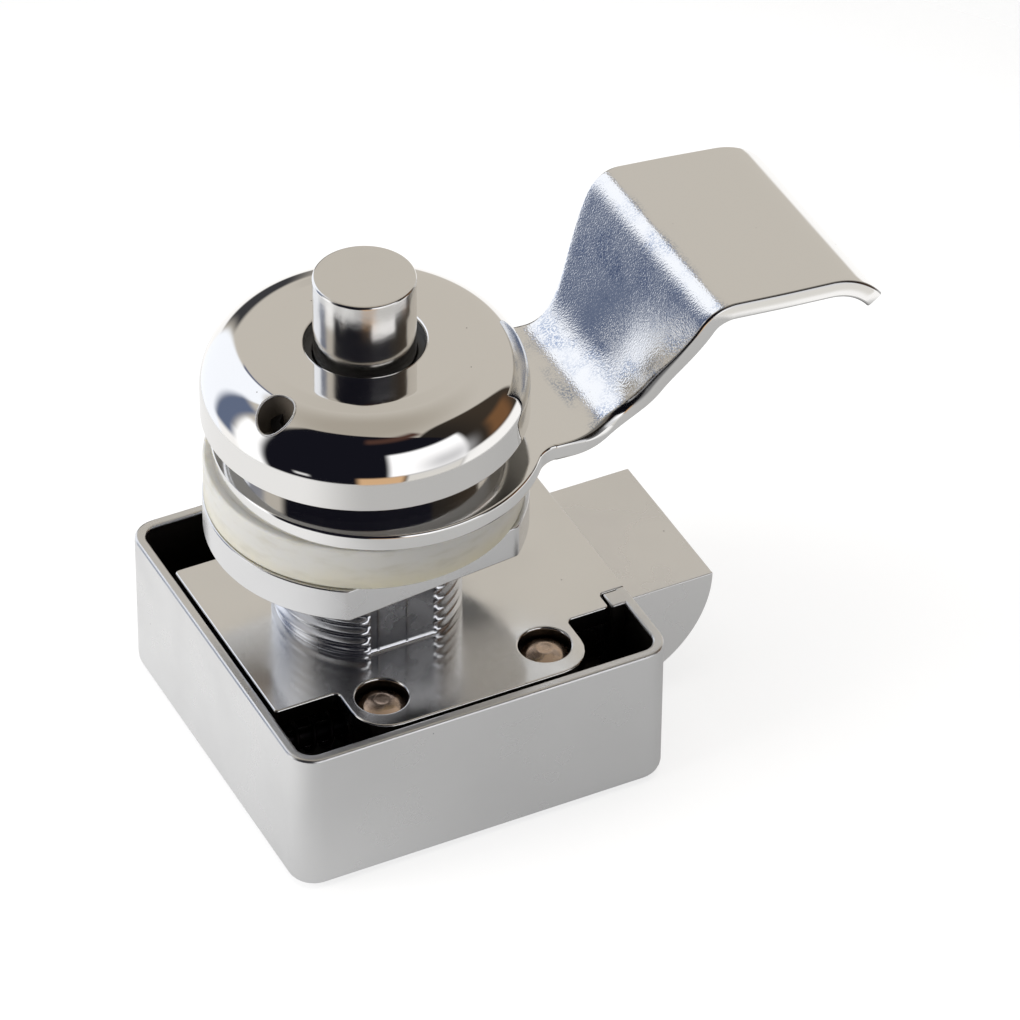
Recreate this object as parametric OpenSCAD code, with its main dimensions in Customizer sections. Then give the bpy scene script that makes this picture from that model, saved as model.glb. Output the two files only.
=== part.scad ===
// Push button cabinet lock with a round rosette and a bent finger pull.
// The case sits behind the door, the threaded neck passes through it, and the
// nut, washer, pull and rosette are stacked on the neck in front.
// Origin: on the neck's axis, on the back face of the case. +X is the way the
// bolt leaves the case, +Z points out of the door towards the button.

/* [Case] */
// Length of the case along the bolt
case_l = 43; // [41:0.5:50]
// Width of the case across the bolt
case_w = 43; // [42:0.5:50]
// Height of the case from its back to its rim
case_h = 17.5; // [17:0.5:20]
// From the neck's axis to the outer face on the bolt's side
backset = 25; // [24:0.5:27]
// Thickness of the side walls
case_wall = 1.2; // [1:0.1:1.5]
// Thickness of the floor
case_floor = 2.3; // [2:0.1:2.6]
// Radius of the four upright corners
case_corner_r = 3; // [2:0.5:4]
// Rounding of the edge round the back
case_foot_r = 1.5; // [1:0.25:2]

/* [Cover] */
// Thickness of the cover plate
plate_t = 2.2; // [2:0.1:2.4]
// Gap between the plate and the case walls
plate_gap = 0.4; // [0.3:0.1:0.6]
// Width of the plate's narrow ends
plate_end_w = 25.2; // [25:0.1:27]
// Length of the plate's wide middle along the bolt
plate_mid_l = 26.4; // [25.5:0.1:27]
// Corner radius of the wide middle
plate_mid_r = 4; // [3:0.25:4.5]
// Width of the tongue that closes the bolt's slot
tongue_w = 20.6; // [19:0.1:20.8]
// Distance of the nearer rivets from the bolt's side of the case
rivet_setback = 11.8; // [11.4:0.1:12.2]
// Rivet spacing along the bolt
rivet_pitch_x = 18.7; // [18.3:0.1:19]
// Rivet spacing across the bolt
rivet_pitch_y = 30.2; // [30:0.1:30.8]
// Diameter of the recess for a rivet's head
rivet_recess_d = 5.5; // [5:0.1:5.8]
// Depth of the recess for a rivet's head
rivet_recess_h = 1.6; // [1.4:0.1:1.8]
// Diameter of a rivet's shank
rivet_d = 3; // [2.4:0.1:3.2]

/* [Neck] */
// Outer diameter of the thread
neck_d = 20; // [19.5:0.1:20.5]
// Thread pitch
thread_pitch = 1.5; // [1.25:0.25:2]
// Depth of the thread
thread_depth = 0.9; // [0.6:0.1:1]
// Width across the two flats of the neck
neck_flats = 17.1; // [16.9:0.1:18]
// Bore of the neck
neck_bore_d = 16; // [15.8:0.1:16.2]
// Height of the ledge in the neck above the plate
ledge_h = 1.2; // [0.8:0.1:2]

/* [Door stack] */
// Door space between the case's rim and the nut
door_gap = 10; // [6:0.5:20]
// Outer diameter of the nut and the washer
stack_d = 33.8; // [32:0.2:36]
// Height of the nut
nut_h = 3.9; // [3:0.1:5]
// Width across the nut's flats
nut_flats = 26.2; // [25:0.2:30]
// Angle at which the tightened nut stopped
nut_turn = 4.5; // [-90:0.5:90]
// Height of the washer
washer_h = 5.7; // [3:0.1:7]

/* [Finger pull] */
// Sheet thickness
pull_t = 2; // [1.6:0.1:2.4]
// Diameter of the eye round the neck
eye_d = 34; // [33.4:0.2:36]
// Distance of the eye's middle from the neck's axis, towards the tip
eye_shift = 1.6; // [1:0.1:2]
// Width of the waist beside the eye
waist_w = 20.4; // [19:0.2:22]
// Fillet between the eye and the waist
waist_r = 3; // [2:0.5:4]
// Distance of the lower bend from the neck's axis
web_foot_x = 25.5; // [24.5:0.1:26.5]
// Width at the lower bend
web_foot_w = 16.8; // [15.6:0.2:19]
// Distance of the upper bend from the neck's axis
web_top_x = 33.6; // [32.6:0.1:35]
// Rise of the grip above the eye
pull_rise = 14.2; // [12:0.1:15]
// Width at the upper bend
web_top_w = 26.6; // [25:0.2:28]
// Distance of the tip's bend from the neck's axis
tip_x = 50.6; // [47:0.2:54]
// Fall of the grip towards the tip
tip_fall = 1.7; // [0.5:0.1:2.5]
// Width at the tip
tip_w = 27; // [26:0.2:30]
// Corner radius of the tip
tip_r = 2.2; // [1:0.2:3]
// Length of the lip that turns down at the tip
lip_l = 2.6; // [2:0.1:4]
// Angle of the lip below the grip
lip_angle = 48; // [30:2:80]
// Radius of the lower bend, at the middle of the sheet
foot_bend_r = 5.5; // [4:0.25:6]
// Radius of the upper bend, at the middle of the sheet
top_bend_r = 4.8; // [3:0.2:5]
// Radius of the lip's bend, at the middle of the sheet
lip_bend_r = 2.2; // [2:0.1:3]

/* [Rosette] */
// Outer diameter
rosette_d = 33.8; // [32:0.2:36]
// Height of the hub that stands on the pull
hub_h = 3.4; // [2:0.1:5]
// Diameter of the hub
hub_d = 29.8; // [26:0.2:30]
// Height of the upright band
band_h = 3.45; // [2.5:0.05:5]
// Radius of the shoulder
shoulder_r = 5.5; // [4.8:0.1:6]
// Thickness of the top wall round the button
roof_t = 2.8; // [2.5:0.1:3.2]
// Diameter of the button's hole
button_hole_d = 12.8; // [12.4:0.1:13]
// Rounding of the hole's rim
hole_rim_r = 0.6; // [0.3:0.1:0.8]
// Diameter of the set screw
set_screw_d = 3.9; // [3.6:0.1:4.2]
// Distance of the set screw's hole from the axis, on the shoulder
set_screw_reach = 14.4; // [14:0.1:14.8]
// Direction of the set screw round the neck
set_screw_turn = 206; // [0:1:359]
// Depth of the set screw below the shoulder
set_screw_depth = 2.8; // [2.4:0.1:3]

/* [Button] */
// Diameter of the button
button_d = 10.58; // [10.4:0.02:10.8]
// Height of the button above the rosette
button_proud = 7.95; // [7.5:0.05:9]
// How far the button is pressed
button_travel = 7; // [6:0.1:7.2]
// Length of the button below the spring's washer
button_skirt = 2.5; // [2.2:0.1:4]
// Diameter of the plunger
plunger_d = 9; // [8.6:0.1:9.2]
// Diameter of the plunger's spigot in the button
spigot_d = 6; // [5.5:0.1:6.4]
// Length of the spigot
spigot_l = 10.8; // [9:0.1:11.5]
// Diameter of the cross pin through the button
cross_pin_d = 1.5; // [1:0.1:1.8]
// Thickness of the clip and the two spring washers
disc_t = 0.8; // [0.6:0.1:1]
// Depth of the clip's groove
clip_groove = 0.6; // [0.4:0.1:0.8]
// Height of the bush above the underside of the roof
bush_h = 1.4; // [1:0.1:1.8]
// Thickness of the bush's flange
bush_flange_t = 1.2; // [0.8:0.1:1.4]

/* [Bolt] */
// Width of the bolt's head
bolt_w = 19.6; // [18.6:0.1:20]
// How far the bolt stands out of the case
bolt_throw = 10.8; // [9:0.1:11.5]
// Bolt travel for each millimetre of button travel
ramp_ratio = 1.2; // [1:0.05:1.3]
// Width of the stop shoulder on each side of the tail
shoulder_w = 1.8; // [1.5:0.1:1.9]
// Width of the flat land at the plunger's tip
nose_land = 1; // [0.6:0.1:1.5]
// Width of the case's posts beside the bolt
post_w = 2.3; // [2:0.1:2.6]
// Depth of the case's posts
post_l = 2.7; // [2.4:0.1:3]

/* [Springs] */
// Wire diameter of the button's spring
button_wire_d = 1; // [0.8:0.1:1.1]
// Coil diameter of the button's spring at the wire's centre
button_coil_d = 13.2; // [13:0.1:13.4]
// Turns of the button's spring
button_turns = 9; // [6:1:10]
// Wire diameter of a bolt spring
bolt_wire_d = 0.5; // [0.4:0.05:0.6]
// Coil diameter of a bolt spring at the wire's centre
bolt_coil_d = 3.1; // [2.9:0.05:3.3]
// Turns of a bolt spring
bolt_turns = 11; // [7:1:12]
// Length of a bolt spring at rest
bolt_spring_l = 22; // [20:0.5:24]
// Diameter of a spring's guide pin
guide_pin_d = 2; // [1.6:0.1:2.2]
// Thickness of the pads behind the guide pins
spring_pad_t = 0.8; // [0.6:0.1:1.2]

/* [Clearances] */
// Gap between pieces that slide past each other
slide_gap = 0.3; // [0.2:0.05:0.4]
// Radial gap of a running or seated round fit
run_gap = 0.05; // [0.02:0.01:0.08]

/* [Hidden] */
$fn = 64;
// Length by which a cutting shape passes the face that it cuts
over = 1;

// Case faces, from the neck's axis
case_x1 = backset;
case_x0 = backset - case_l;
case_y1 = case_w / 2;
inner_x0 = case_x0 + case_wall;
inner_x1 = case_x1 - case_wall;
inner_y1 = case_y1 - case_wall;

// Heights, from the back of the case up through the stack
plate_z0 = case_h - plate_t;
ledge_z = case_h + ledge_h;
nut_z0 = case_h + door_gap;
washer_z0 = nut_z0 + nut_h;
pull_z0 = washer_z0 + washer_h;
pull_z1 = pull_z0 + pull_t;
band_z0 = pull_z1 + hub_h;
band_z1 = band_z0 + band_h;
rosette_z1 = band_z1 + shoulder_r;
roof_z0 = rosette_z1 - roof_t;
neck_z1 = roof_z0 - bush_flange_t;

// Radii on the neck's axis
neck_r = neck_d / 2;
neck_bore_r = neck_bore_d / 2;
stack_bore_r = neck_r + run_gap;
rosette_r = rosette_d / 2;
set_screw_lean = 45;
set_screw_l = (set_screw_reach - neck_r) / sin(set_screw_lean);
button_r = button_d / 2;
plunger_r = plunger_d / 2;
spigot_r = spigot_d / 2;
groove_r = button_r - clip_groove;
neck_foot_h = 0.3;
thread_flank = 30;

// Headings of the pull's web and grip, and where its flare ends
web_angle = atan2(pull_rise, web_top_x - web_foot_x);
grip_angle = -atan2(tip_fall, tip_x - web_top_x);
flare_x = web_top_x - top_bend_r * tan((web_angle - grip_angle) / 2) * cos(web_angle);

// Button train, from the bush down
clip_z1 = neck_z1 - slide_gap;
clip_z0 = clip_z1 - disc_t;
upper_washer_z0 = clip_z0 - disc_t;
button_z0 = upper_washer_z0 - button_skirt;
button_z1 = rosette_z1 + button_proud;
button_edge_r = 0.3;
clip_ledge = 1.6;
clip_mouth = 7.5;
lower_washer_z1 = ledge_z + disc_t;
pin_z = button_z0 + button_skirt / 2;

// Bolt and the ramp that the plunger's nose pushes
bolt_travel = button_travel * ramp_ratio;
bolt_z0 = case_floor + slide_gap;
bolt_z1 = plate_z0 - slide_gap;
bolt_h = bolt_z1 - bolt_z0;
bolt_tip_x = case_x1 + bolt_throw;
tail_half = bolt_w / 2 + shoulder_w;
post_x0 = case_x1 - post_l;
slot_half = bolt_w / 2 + 2 * slide_gap;
tail_x1 = post_x0 - slide_gap;
nose_floor_gap = 0.7;
nose_z = case_floor + nose_floor_gap + button_travel;
nose_x = plunger_r - nose_land;
ramp_gap = slide_gap * sqrt(1 + pow(ramp_ratio, 2));
window_half = plunger_r + slide_gap;
window_x1 = plunger_r + bolt_travel + slide_gap;
tail_x0 = inner_x0 + spring_pad_t + 2 * slide_gap + bolt_travel;

// Bolt springs, one on each side of the window
spring_y = (window_half + tail_half) / 2;
spring_z = (bolt_z0 + bolt_z1) / 2;
pocket_r = (bolt_coil_d + bolt_wire_d) / 2 + slide_gap;
pin_flange_t = 0.6;
spring_x0 = inner_x0 + spring_pad_t + pin_flange_t;
pocket_x1 = spring_x0 + bolt_spring_l;
guide_end_gap = 1;
guide_pin_end = pocket_x1 - bolt_travel - guide_end_gap;
guide_pin_root = inner_x0 - case_wall / 2;

// Rivets and what holds them
rivet_xs = [case_x1 - rivet_setback - rivet_pitch_x, case_x1 - rivet_setback];
rivet_ys = [-rivet_pitch_y / 2, rivet_pitch_y / 2];
rivet_boss_r = rivet_d / 2 + 1.5;
rivet_foot_z = case_floor + 4;
rivet_seat_z = case_h - rivet_recess_h;
rivet_head_h = 0.7;
rivet_rim_h = 0.2;

// Points of an arc about c, from angle a0 to a1
function arc(c, r, a0, a1, n = 8) =
    [for (i = [0:n]) let (a = a0 + (a1 - a0) * i / n) c + r * [cos(a), sin(a)]];

// Outline of a rectangle with rounded corners
function rounded(x0, x1, y0, y1, r) = concat(
    arc([x1 - r, y1 - r], r, 0, 90),
    arc([x0 + r, y1 - r], r, 90, 180),
    arc([x0 + r, y0 + r], r, 180, 270),
    arc([x1 - r, y0 + r], r, 270, 360));

// Side of a bent sheet at the corner v, where it turns from heading a0 to a1 on radius r;
// d is the distance of the side from the sheet's middle, positive on the left
function bend(v, a0, a1, r, d, n = 8) = let (
    turn = sign(a1 - a0),
    reach = r * tan(abs(a1 - a0) / 2),
    c = v - reach * [cos(a0), sin(a0)] + turn * r * [-sin(a0), cos(a0)])
    [for (i = [0:n]) let (a = a0 + (a1 - a0) * i / n)
        c + turn * (r - turn * d) * [sin(a), -cos(a)]];

// Points down the middle of a coil's wire
coil_steps = 8;
coil_sides = 6;
function coil_line(coil_d, wire_d, l, turns) =
    [for (i = [0:turns * coil_steps]) let (a = 360 * i / coil_steps)
        [coil_d / 2 * cos(a), coil_d / 2 * sin(a),
            wire_d / 2 + (l - wire_d) * i / (turns * coil_steps)]];

// Least gap between neighbouring turns, measured on those points
function coil_gap(line, wire_d) =
    min([for (i = [0:len(line) - 1 - coil_steps]) norm(line[i + coil_steps] - line[i])]) - wire_d;

// One unbroken coil of wire along +Z, with the first and last ring closed
module coil(coil_d, wire_d, l, turns) {
    line = coil_line(coil_d, wire_d, l, turns);
    echo("least gap between turns", coil_gap(line, wire_d));
    last = len(line) - 1;
    points = [for (i = [0:last], j = [0:coil_sides - 1]) let (
        a = 360 * i / coil_steps,
        b = 360 * j / coil_sides)
        line[i] + wire_d / 2 * [cos(b) * cos(a), cos(b) * sin(a), sin(b)]];
    walls = [for (i = [0:last - 1], j = [0:coil_sides - 1]) let (
        k = (j + 1) % coil_sides,
        p = i * coil_sides,
        q = p + coil_sides)
        each [[p + j, p + k, q + j], [p + k, q + k, q + j]]];
    top = last * coil_sides;
    ends = [for (j = [1:coil_sides - 2]) each [[0, j + 1, j], [top, top + j, top + j + 1]]];
    polyhedron(points, concat(walls, ends));
}

// Ring on the neck's axis
module ring(outer_r, inner_r, z0, h) {
    translate([0, 0, z0])
        difference() {
            cylinder(r = outer_r, h = h);
            translate([0, 0, -over]) cylinder(r = inner_r, h = h + 2 * over);
        }
}

module at_rivets() {
    for (x = rivet_xs, y = rivet_ys)
        translate([x, y, 0]) children();
}

// Open box with rounded corners and a rounded edge round its back
module case_shell() {
    difference() {
        intersection() {
            linear_extrude(case_h)
                polygon(rounded(case_x0, case_x1, -case_y1, case_y1, case_corner_r));
            translate([0, case_y1 + over, 0]) rotate([90, 0, 0])
                linear_extrude(case_w + 2 * over)
                    polygon(rounded(case_x0, case_x1, 0, case_h + 2 * case_foot_r, case_foot_r));
            translate([case_x0 - over, 0, 0]) rotate([90, 0, 90])
                linear_extrude(case_l + 2 * over)
                    polygon(rounded(-case_y1, case_y1, 0, case_h + 2 * case_foot_r, case_foot_r));
        }
        translate([0, 0, case_floor])
            linear_extrude(case_h)
                polygon(rounded(inner_x0, inner_x1, -inner_y1, inner_y1, case_corner_r - case_wall));
    }
}

module case() {
    rail_w = 1;
    rail_h = bolt_h / 2;
    color("gainsboro")
        difference() {
            union() {
                case_shell();
                for (side = [-1, 1]) {
                    // Posts that guide the bolt's head and stop its tail
                    translate([post_x0, side * (slot_half + post_w / 2) - post_w / 2, case_floor - over])
                        cube([post_l - case_wall / 2, post_w, case_h - case_floor + over]);
                    // Rails beside the bolt's tail
                    translate([tail_x0, side * (tail_half + slide_gap + rail_w / 2) - rail_w / 2,
                        case_floor - over])
                        cube([tail_x1 - tail_x0, rail_w, rail_h + over]);
                    // Pads that carry the guide pins
                    translate([inner_x0 - case_wall / 2, side * spring_y, spring_z]) rotate([0, 90, 0])
                        cylinder(r = pocket_r + slide_gap, h = spring_pad_t + case_wall / 2);
                }
                at_rivets() translate([0, 0, case_floor - over])
                    cylinder(r = rivet_boss_r, h = plate_z0 - case_floor + over);
            }
            // Slot for the bolt and the plate's tongue
            translate([inner_x1 - over, -slot_half, case_floor])
                cube([case_wall + 2 * over, 2 * slot_half, case_h]);
            at_rivets() translate([0, 0, rivet_foot_z])
                cylinder(d = rivet_d + 2 * run_gap, h = case_h);
            for (side = [-1, 1])
                translate([guide_pin_root, side * spring_y, spring_z]) rotate([0, 90, 0])
                    cylinder(d = guide_pin_d + 2 * run_gap, h = case_l / 2);
        }
}

// Plate with narrow ends, a wide middle for the rivets and a tongue over the bolt
module plate_outline() {
    mid_x = case_x1 - rivet_setback - rivet_pitch_x / 2;
    mid_y = inner_y1 - plate_gap;
    translate([inner_x0 + plate_gap, -plate_end_w / 2])
        square([post_x0 - slide_gap - inner_x0 - plate_gap, plate_end_w]);
    polygon(rounded(mid_x - plate_mid_l / 2, mid_x + plate_mid_l / 2, -mid_y, mid_y, plate_mid_r));
    translate([0, -tongue_w / 2])
        square([case_x1, tongue_w]);
}

// Side of the neck: a plain foot, then a ridge and a groove for each turn
module neck_side() {
    root_r = neck_r - thread_depth;
    flank_h = thread_depth * tan(thread_flank);
    crest_h = thread_pitch / 8;
    first_z = case_h + neck_foot_h + flank_h;
    turns = floor((neck_z1 - thread_depth - first_z) / thread_pitch);
    ridges = [for (i = [0:turns - 1]) let (z = first_z + i * thread_pitch) each [
        [root_r, z],
        [neck_r, z + flank_h],
        [neck_r, z + flank_h + crest_h],
        [root_r, z + 2 * flank_h + crest_h]]];
    polygon(concat(
        [[0, plate_z0], [neck_r, plate_z0], [neck_r, case_h + neck_foot_h]],
        ridges,
        [[root_r, neck_z1], [0, neck_z1]]));
}

module cover() {
    rim_bevel = 0.35;
    color("silver")
        difference() {
            union() {
                translate([0, 0, plate_z0]) linear_extrude(plate_t) plate_outline();
                intersection() {
                    rotate_extrude() neck_side();
                    translate([-neck_d, -neck_flats / 2, plate_z0])
                        cube([2 * neck_d, neck_flats, neck_z1 - plate_z0]);
                }
            }
            translate([0, 0, ledge_z]) cylinder(r = neck_bore_r, h = neck_z1);
            translate([0, 0, plate_z0 - over])
                cylinder(r = plunger_r + run_gap, h = case_h);
            at_rivets() {
                translate([0, 0, rivet_seat_z]) cylinder(d = rivet_recess_d, h = case_h);
                translate([0, 0, case_h - rim_bevel])
                    cylinder(d1 = rivet_recess_d, d2 = rivet_recess_d + 4 * rim_bevel, h = 2 * rim_bevel);
                translate([0, 0, plate_z0 - over])
                    cylinder(d = rivet_d + 2 * run_gap, h = case_h);
            }
        }
}

module cover_rivets() {
    head_r = rivet_recess_d / 2 - 2 * run_gap;
    dome_h = rivet_head_h - rivet_rim_h;
    dome_r = (pow(head_r, 2) + pow(dome_h, 2)) / (2 * dome_h);
    color("sienna")
        at_rivets() {
            translate([0, 0, rivet_foot_z])
                cylinder(d = rivet_d, h = rivet_seat_z + rivet_head_h / 2 - rivet_foot_z);
            intersection() {
                translate([0, 0, rivet_seat_z]) cylinder(r = head_r, h = rivet_head_h);
                translate([0, 0, rivet_seat_z + rivet_head_h - dome_r]) sphere(r = dome_r);
            }
        }
}

module clamp_nut() {
    color("darkgray")
        rotate([0, 0, nut_turn])
            difference() {
                intersection() {
                    translate([0, 0, nut_z0]) cylinder(d = stack_d, h = nut_h);
                    translate([-stack_d, -nut_flats / 2, nut_z0])
                        cube([2 * stack_d, nut_flats, nut_h]);
                }
                translate([0, 0, nut_z0 - over]) cylinder(r = stack_bore_r, h = nut_h + 2 * over);
            }
}

module spacer_washer() {
    color("darkkhaki")
        ring(stack_d / 2, stack_bore_r + slide_gap, washer_z0, washer_h);
}

// Half of the pull seen from above, from the tip round to the far side of the eye
function pull_half(end_x) = let (
    eye_r = eye_d / 2,
    fillet_y = waist_w / 2 + waist_r,
    fillet_x = sqrt(pow(eye_r + waist_r, 2) - pow(fillet_y, 2)),
    eye = [eye_shift, 0],
    join = atan2(fillet_y, fillet_x)) concat(
        arc([end_x - tip_r, tip_w / 2 - tip_r], tip_r, 0, 90, 6),
        [[flare_x, web_top_w / 2], [web_foot_x, web_foot_w / 2]],
        arc(eye + [fillet_x, fillet_y], waist_r, 270, 180 + join, 6),
        arc(eye, eye_r, join, 180, 24));

// The bent sheet seen from the side, where +Y of the drawing is up
module pull_side() {
    half_t = pull_t / 2;
    drop_angle = grip_angle - lip_angle;
    foot = [web_foot_x, pull_z0 + half_t];
    top = [web_top_x, pull_z0 + half_t + pull_rise];
    tip = [tip_x, top[1] - tip_fall];
    end = tip + lip_l * [cos(drop_angle), sin(drop_angle)];
    side = [-sin(drop_angle), cos(drop_angle)];
    polygon(concat(
        [[-eye_d, pull_z1]],
        bend(foot, 0, web_angle, foot_bend_r, half_t),
        bend(top, web_angle, grip_angle, top_bend_r, half_t),
        bend(tip, grip_angle, drop_angle, lip_bend_r, half_t),
        [end + half_t * side, end - half_t * side],
        [for (i = [8:-1:0]) bend(tip, grip_angle, drop_angle, lip_bend_r, -half_t)[i]],
        [for (i = [8:-1:0]) bend(top, web_angle, grip_angle, top_bend_r, -half_t)[i]],
        [for (i = [8:-1:0]) bend(foot, 0, web_angle, foot_bend_r, -half_t)[i]],
        [[-eye_d, pull_z0]]));
}

module finger_pull() {
    end_x = tip_x + lip_l;
    half = pull_half(end_x);
    outline = concat(half, [for (i = [len(half) - 2:-1:0]) [half[i][0], -half[i][1]]]);
    color("lightslategray")
        difference() {
            intersection() {
                translate([0, 0, pull_z0 - over])
                    linear_extrude(pull_rise + pull_t + 2 * over) polygon(outline);
                translate([0, tip_w, 0]) rotate([90, 0, 0])
                    linear_extrude(2 * tip_w) pull_side();
            }
            // The eye fits the neck's two flats, so the pull cannot turn
            intersection() {
                translate([0, 0, pull_z0 - over])
                    cylinder(r = stack_bore_r + slide_gap, h = pull_t + 2 * over);
                translate([-neck_d, -neck_flats / 2 - slide_gap / 2, pull_z0 - over])
                    cube([2 * neck_d, neck_flats + slide_gap, pull_t + 2 * over]);
            }
        }
}

// The set screw's own frame: its mouth on the shoulder, pointing down its hole
module at_set_screw() {
    rise = sqrt(pow(shoulder_r, 2) - pow(set_screw_reach - rosette_r + shoulder_r, 2));
    rotate([0, 0, set_screw_turn])
        translate([set_screw_reach, 0, band_z1 + rise])
            rotate([0, set_screw_lean + 180, 0]) children();
}

module rosette() {
    hole_r = button_hole_d / 2;
    edge = 0.3;
    color("silver")
        difference() {
            rotate_extrude(convexity = 6) polygon(concat(
                [[stack_bore_r, pull_z1], [hub_d / 2, pull_z1], [hub_d / 2, band_z0],
                    [rosette_r - edge, band_z0], [rosette_r, band_z0 + edge]],
                arc([rosette_r - shoulder_r, band_z1], shoulder_r, 0, 90, 12),
                arc([hole_r + hole_rim_r, rosette_z1 - hole_rim_r], hole_rim_r, 90, 180, 5),
                [[hole_r, roof_z0], [stack_bore_r, roof_z0]]));
            at_set_screw() translate([0, 0, -2 * over])
                cylinder(d = set_screw_d + 2 * run_gap, h = set_screw_l + 2 * over);
        }
}

module set_screw() {
    point_h = set_screw_d / 2;
    point_z = set_screw_l - slide_gap;
    point_d = 0.4;
    socket_d = set_screw_d / 2;
    color("dimgray")
        at_set_screw()
            difference() {
                union() {
                    translate([0, 0, set_screw_depth])
                        cylinder(d = set_screw_d, h = point_z - point_h - set_screw_depth);
                    translate([0, 0, point_z - point_h])
                        cylinder(d1 = set_screw_d, d2 = point_d, h = point_h);
                }
                translate([0, 0, set_screw_depth - over])
                    cylinder(d = socket_d, h = over + point_h / 2, $fn = 6);
            }
}

module button_bush() {
    color([0.08, 0.08, 0.08])
        difference() {
            union() {
                translate([0, 0, neck_z1]) cylinder(r = stack_bore_r - 2 * run_gap, h = bush_flange_t);
                translate([0, 0, neck_z1])
                    cylinder(d = button_hole_d - 2 * run_gap, h = bush_flange_t + bush_h);
            }
            translate([0, 0, neck_z1 - over])
                cylinder(r = button_r + run_gap, h = bush_flange_t + bush_h + 2 * over);
        }
}

module push_button() {
    color("silver")
        difference() {
            rotate_extrude() polygon(concat(
                [[0, button_z0], [button_r, button_z0], [button_r, clip_z0], [groove_r, clip_z0],
                    [groove_r, clip_z1], [button_r, clip_z1]],
                arc([button_r - button_edge_r, button_z1 - button_edge_r], button_edge_r, 0, 90, 5),
                [[0, button_z1]]));
            translate([0, 0, button_z0 - over])
                cylinder(r = spigot_r + run_gap, h = spigot_l + over + slide_gap);
            translate([0, button_d, pin_z]) rotate([90, 0, 0])
                cylinder(d = cross_pin_d + 2 * run_gap, h = 2 * button_d);
        }
}

module button_pin() {
    pin_l = button_d - 4 * run_gap;
    color("darkgray")
        translate([0, pin_l / 2, pin_z]) rotate([90, 0, 0])
            cylinder(d = cross_pin_d, h = pin_l);
}

// Open clip in the button's groove, which stops under the bush
module button_clip() {
    clip_r = button_r + clip_ledge;
    color("dimgray")
        difference() {
            ring(clip_r, groove_r + run_gap, clip_z0, disc_t);
            translate([0, -clip_mouth / 2, clip_z0 - over]) cube([2 * clip_r, clip_mouth, disc_t + 2 * over]);
        }
}

module upper_spring_washer() {
    color("gray")
        ring(neck_bore_r - slide_gap, button_r + run_gap, upper_washer_z0, disc_t);
}

module lower_spring_washer() {
    color("gray")
        ring(neck_bore_r - slide_gap, plunger_r + slide_gap, ledge_z, disc_t);
}

module button_spring() {
    color("slategray")
        translate([0, 0, lower_washer_z1 + run_gap])
            coil(button_coil_d, button_wire_d, upper_washer_z0 - lower_washer_z1 - 2 * run_gap, button_turns);
}

// Round plunger whose slanted nose pushes the bolt back
module plunger() {
    shoulder_z = button_z0;
    slant_h = (plunger_r + nose_x) / ramp_ratio;
    color("lightgray")
        difference() {
            union() {
                translate([0, 0, nose_z]) cylinder(r = plunger_r, h = shoulder_z - nose_z);
                translate([0, 0, shoulder_z]) cylinder(r = spigot_r, h = spigot_l);
            }
            translate([0, plunger_d, 0]) rotate([90, 0, 0])
                linear_extrude(2 * plunger_d)
                    polygon([
                        [nose_x + over * ramp_ratio, nose_z - over],
                        [-plunger_r - over * ramp_ratio, nose_z + slant_h + over],
                        [-plunger_d, nose_z - over]]);
            translate([0, button_d, pin_z]) rotate([90, 0, 0])
                cylinder(d = cross_pin_d + 2 * run_gap, h = 2 * button_d);
        }
}

// The ramp's face at the height z
function ramp_x(z) = nose_x - ramp_gap - ramp_ratio * (z - nose_z);

module latch_bolt() {
    nose_r = bolt_h;
    color("lightgray")
        difference() {
            union() {
                // Head with its rounded underside
                translate([0, bolt_w / 2, 0]) rotate([90, 0, 0])
                    linear_extrude(bolt_w)
                        polygon(concat(
                            [[tail_x1 - over, bolt_z1], [tail_x1 - over, bolt_z0]],
                            arc([bolt_tip_x - nose_r, bolt_z1], nose_r, 270, 360, 16)));
                // Tail with its stop shoulders
                translate([tail_x0, -tail_half, bolt_z0])
                    cube([tail_x1 - tail_x0, 2 * tail_half, bolt_h]);
            }
            // Window with the ramp
            translate([0, window_half, 0]) rotate([90, 0, 0])
                linear_extrude(2 * window_half)
                    polygon([
                        [ramp_x(bolt_z1 + over), bolt_z1 + over],
                        [ramp_x(bolt_z0 - over), bolt_z0 - over],
                        [max(window_x1, ramp_x(bolt_z0 - over) + slide_gap), bolt_z0 - over],
                        [window_x1, bolt_z1 + over]]);
            for (side = [-1, 1])
                translate([tail_x0 - over, side * spring_y, spring_z]) rotate([0, 90, 0])
                    cylinder(r = pocket_r, h = pocket_x1 - tail_x0 + over);
        }
}

module bolt_spring(side) {
    color("slategray")
        translate([spring_x0 + run_gap, side * spring_y, spring_z]) rotate([0, 90, 0])
            coil(bolt_coil_d, bolt_wire_d, bolt_spring_l - 2 * run_gap, bolt_turns);
}

module bolt_spring_front() { bolt_spring(-1); }

module bolt_spring_rear() { bolt_spring(1); }

// Pin down the middle of a bolt spring, with a flange that the spring stands on
module guide_pin(side) {
    color("darkgray")
        translate([0, side * spring_y, spring_z]) rotate([0, 90, 0]) {
            translate([0, 0, guide_pin_root + run_gap])
                cylinder(d = guide_pin_d, h = guide_pin_end - guide_pin_root - run_gap);
            translate([0, 0, spring_x0 - pin_flange_t])
                cylinder(r = pocket_r - slide_gap, h = pin_flange_t);
        }
}

module guide_pin_front() { guide_pin(-1); }

module guide_pin_rear() { guide_pin(1); }

case();
cover();
cover_rivets();
clamp_nut();
spacer_washer();
finger_pull();
rosette();
set_screw();
button_bush();
push_button();
button_pin();
button_clip();
upper_spring_washer();
lower_spring_washer();
button_spring();
plunger();
latch_bolt();
bolt_spring_front();
bolt_spring_rear();
guide_pin_front();
guide_pin_rear();
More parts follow.
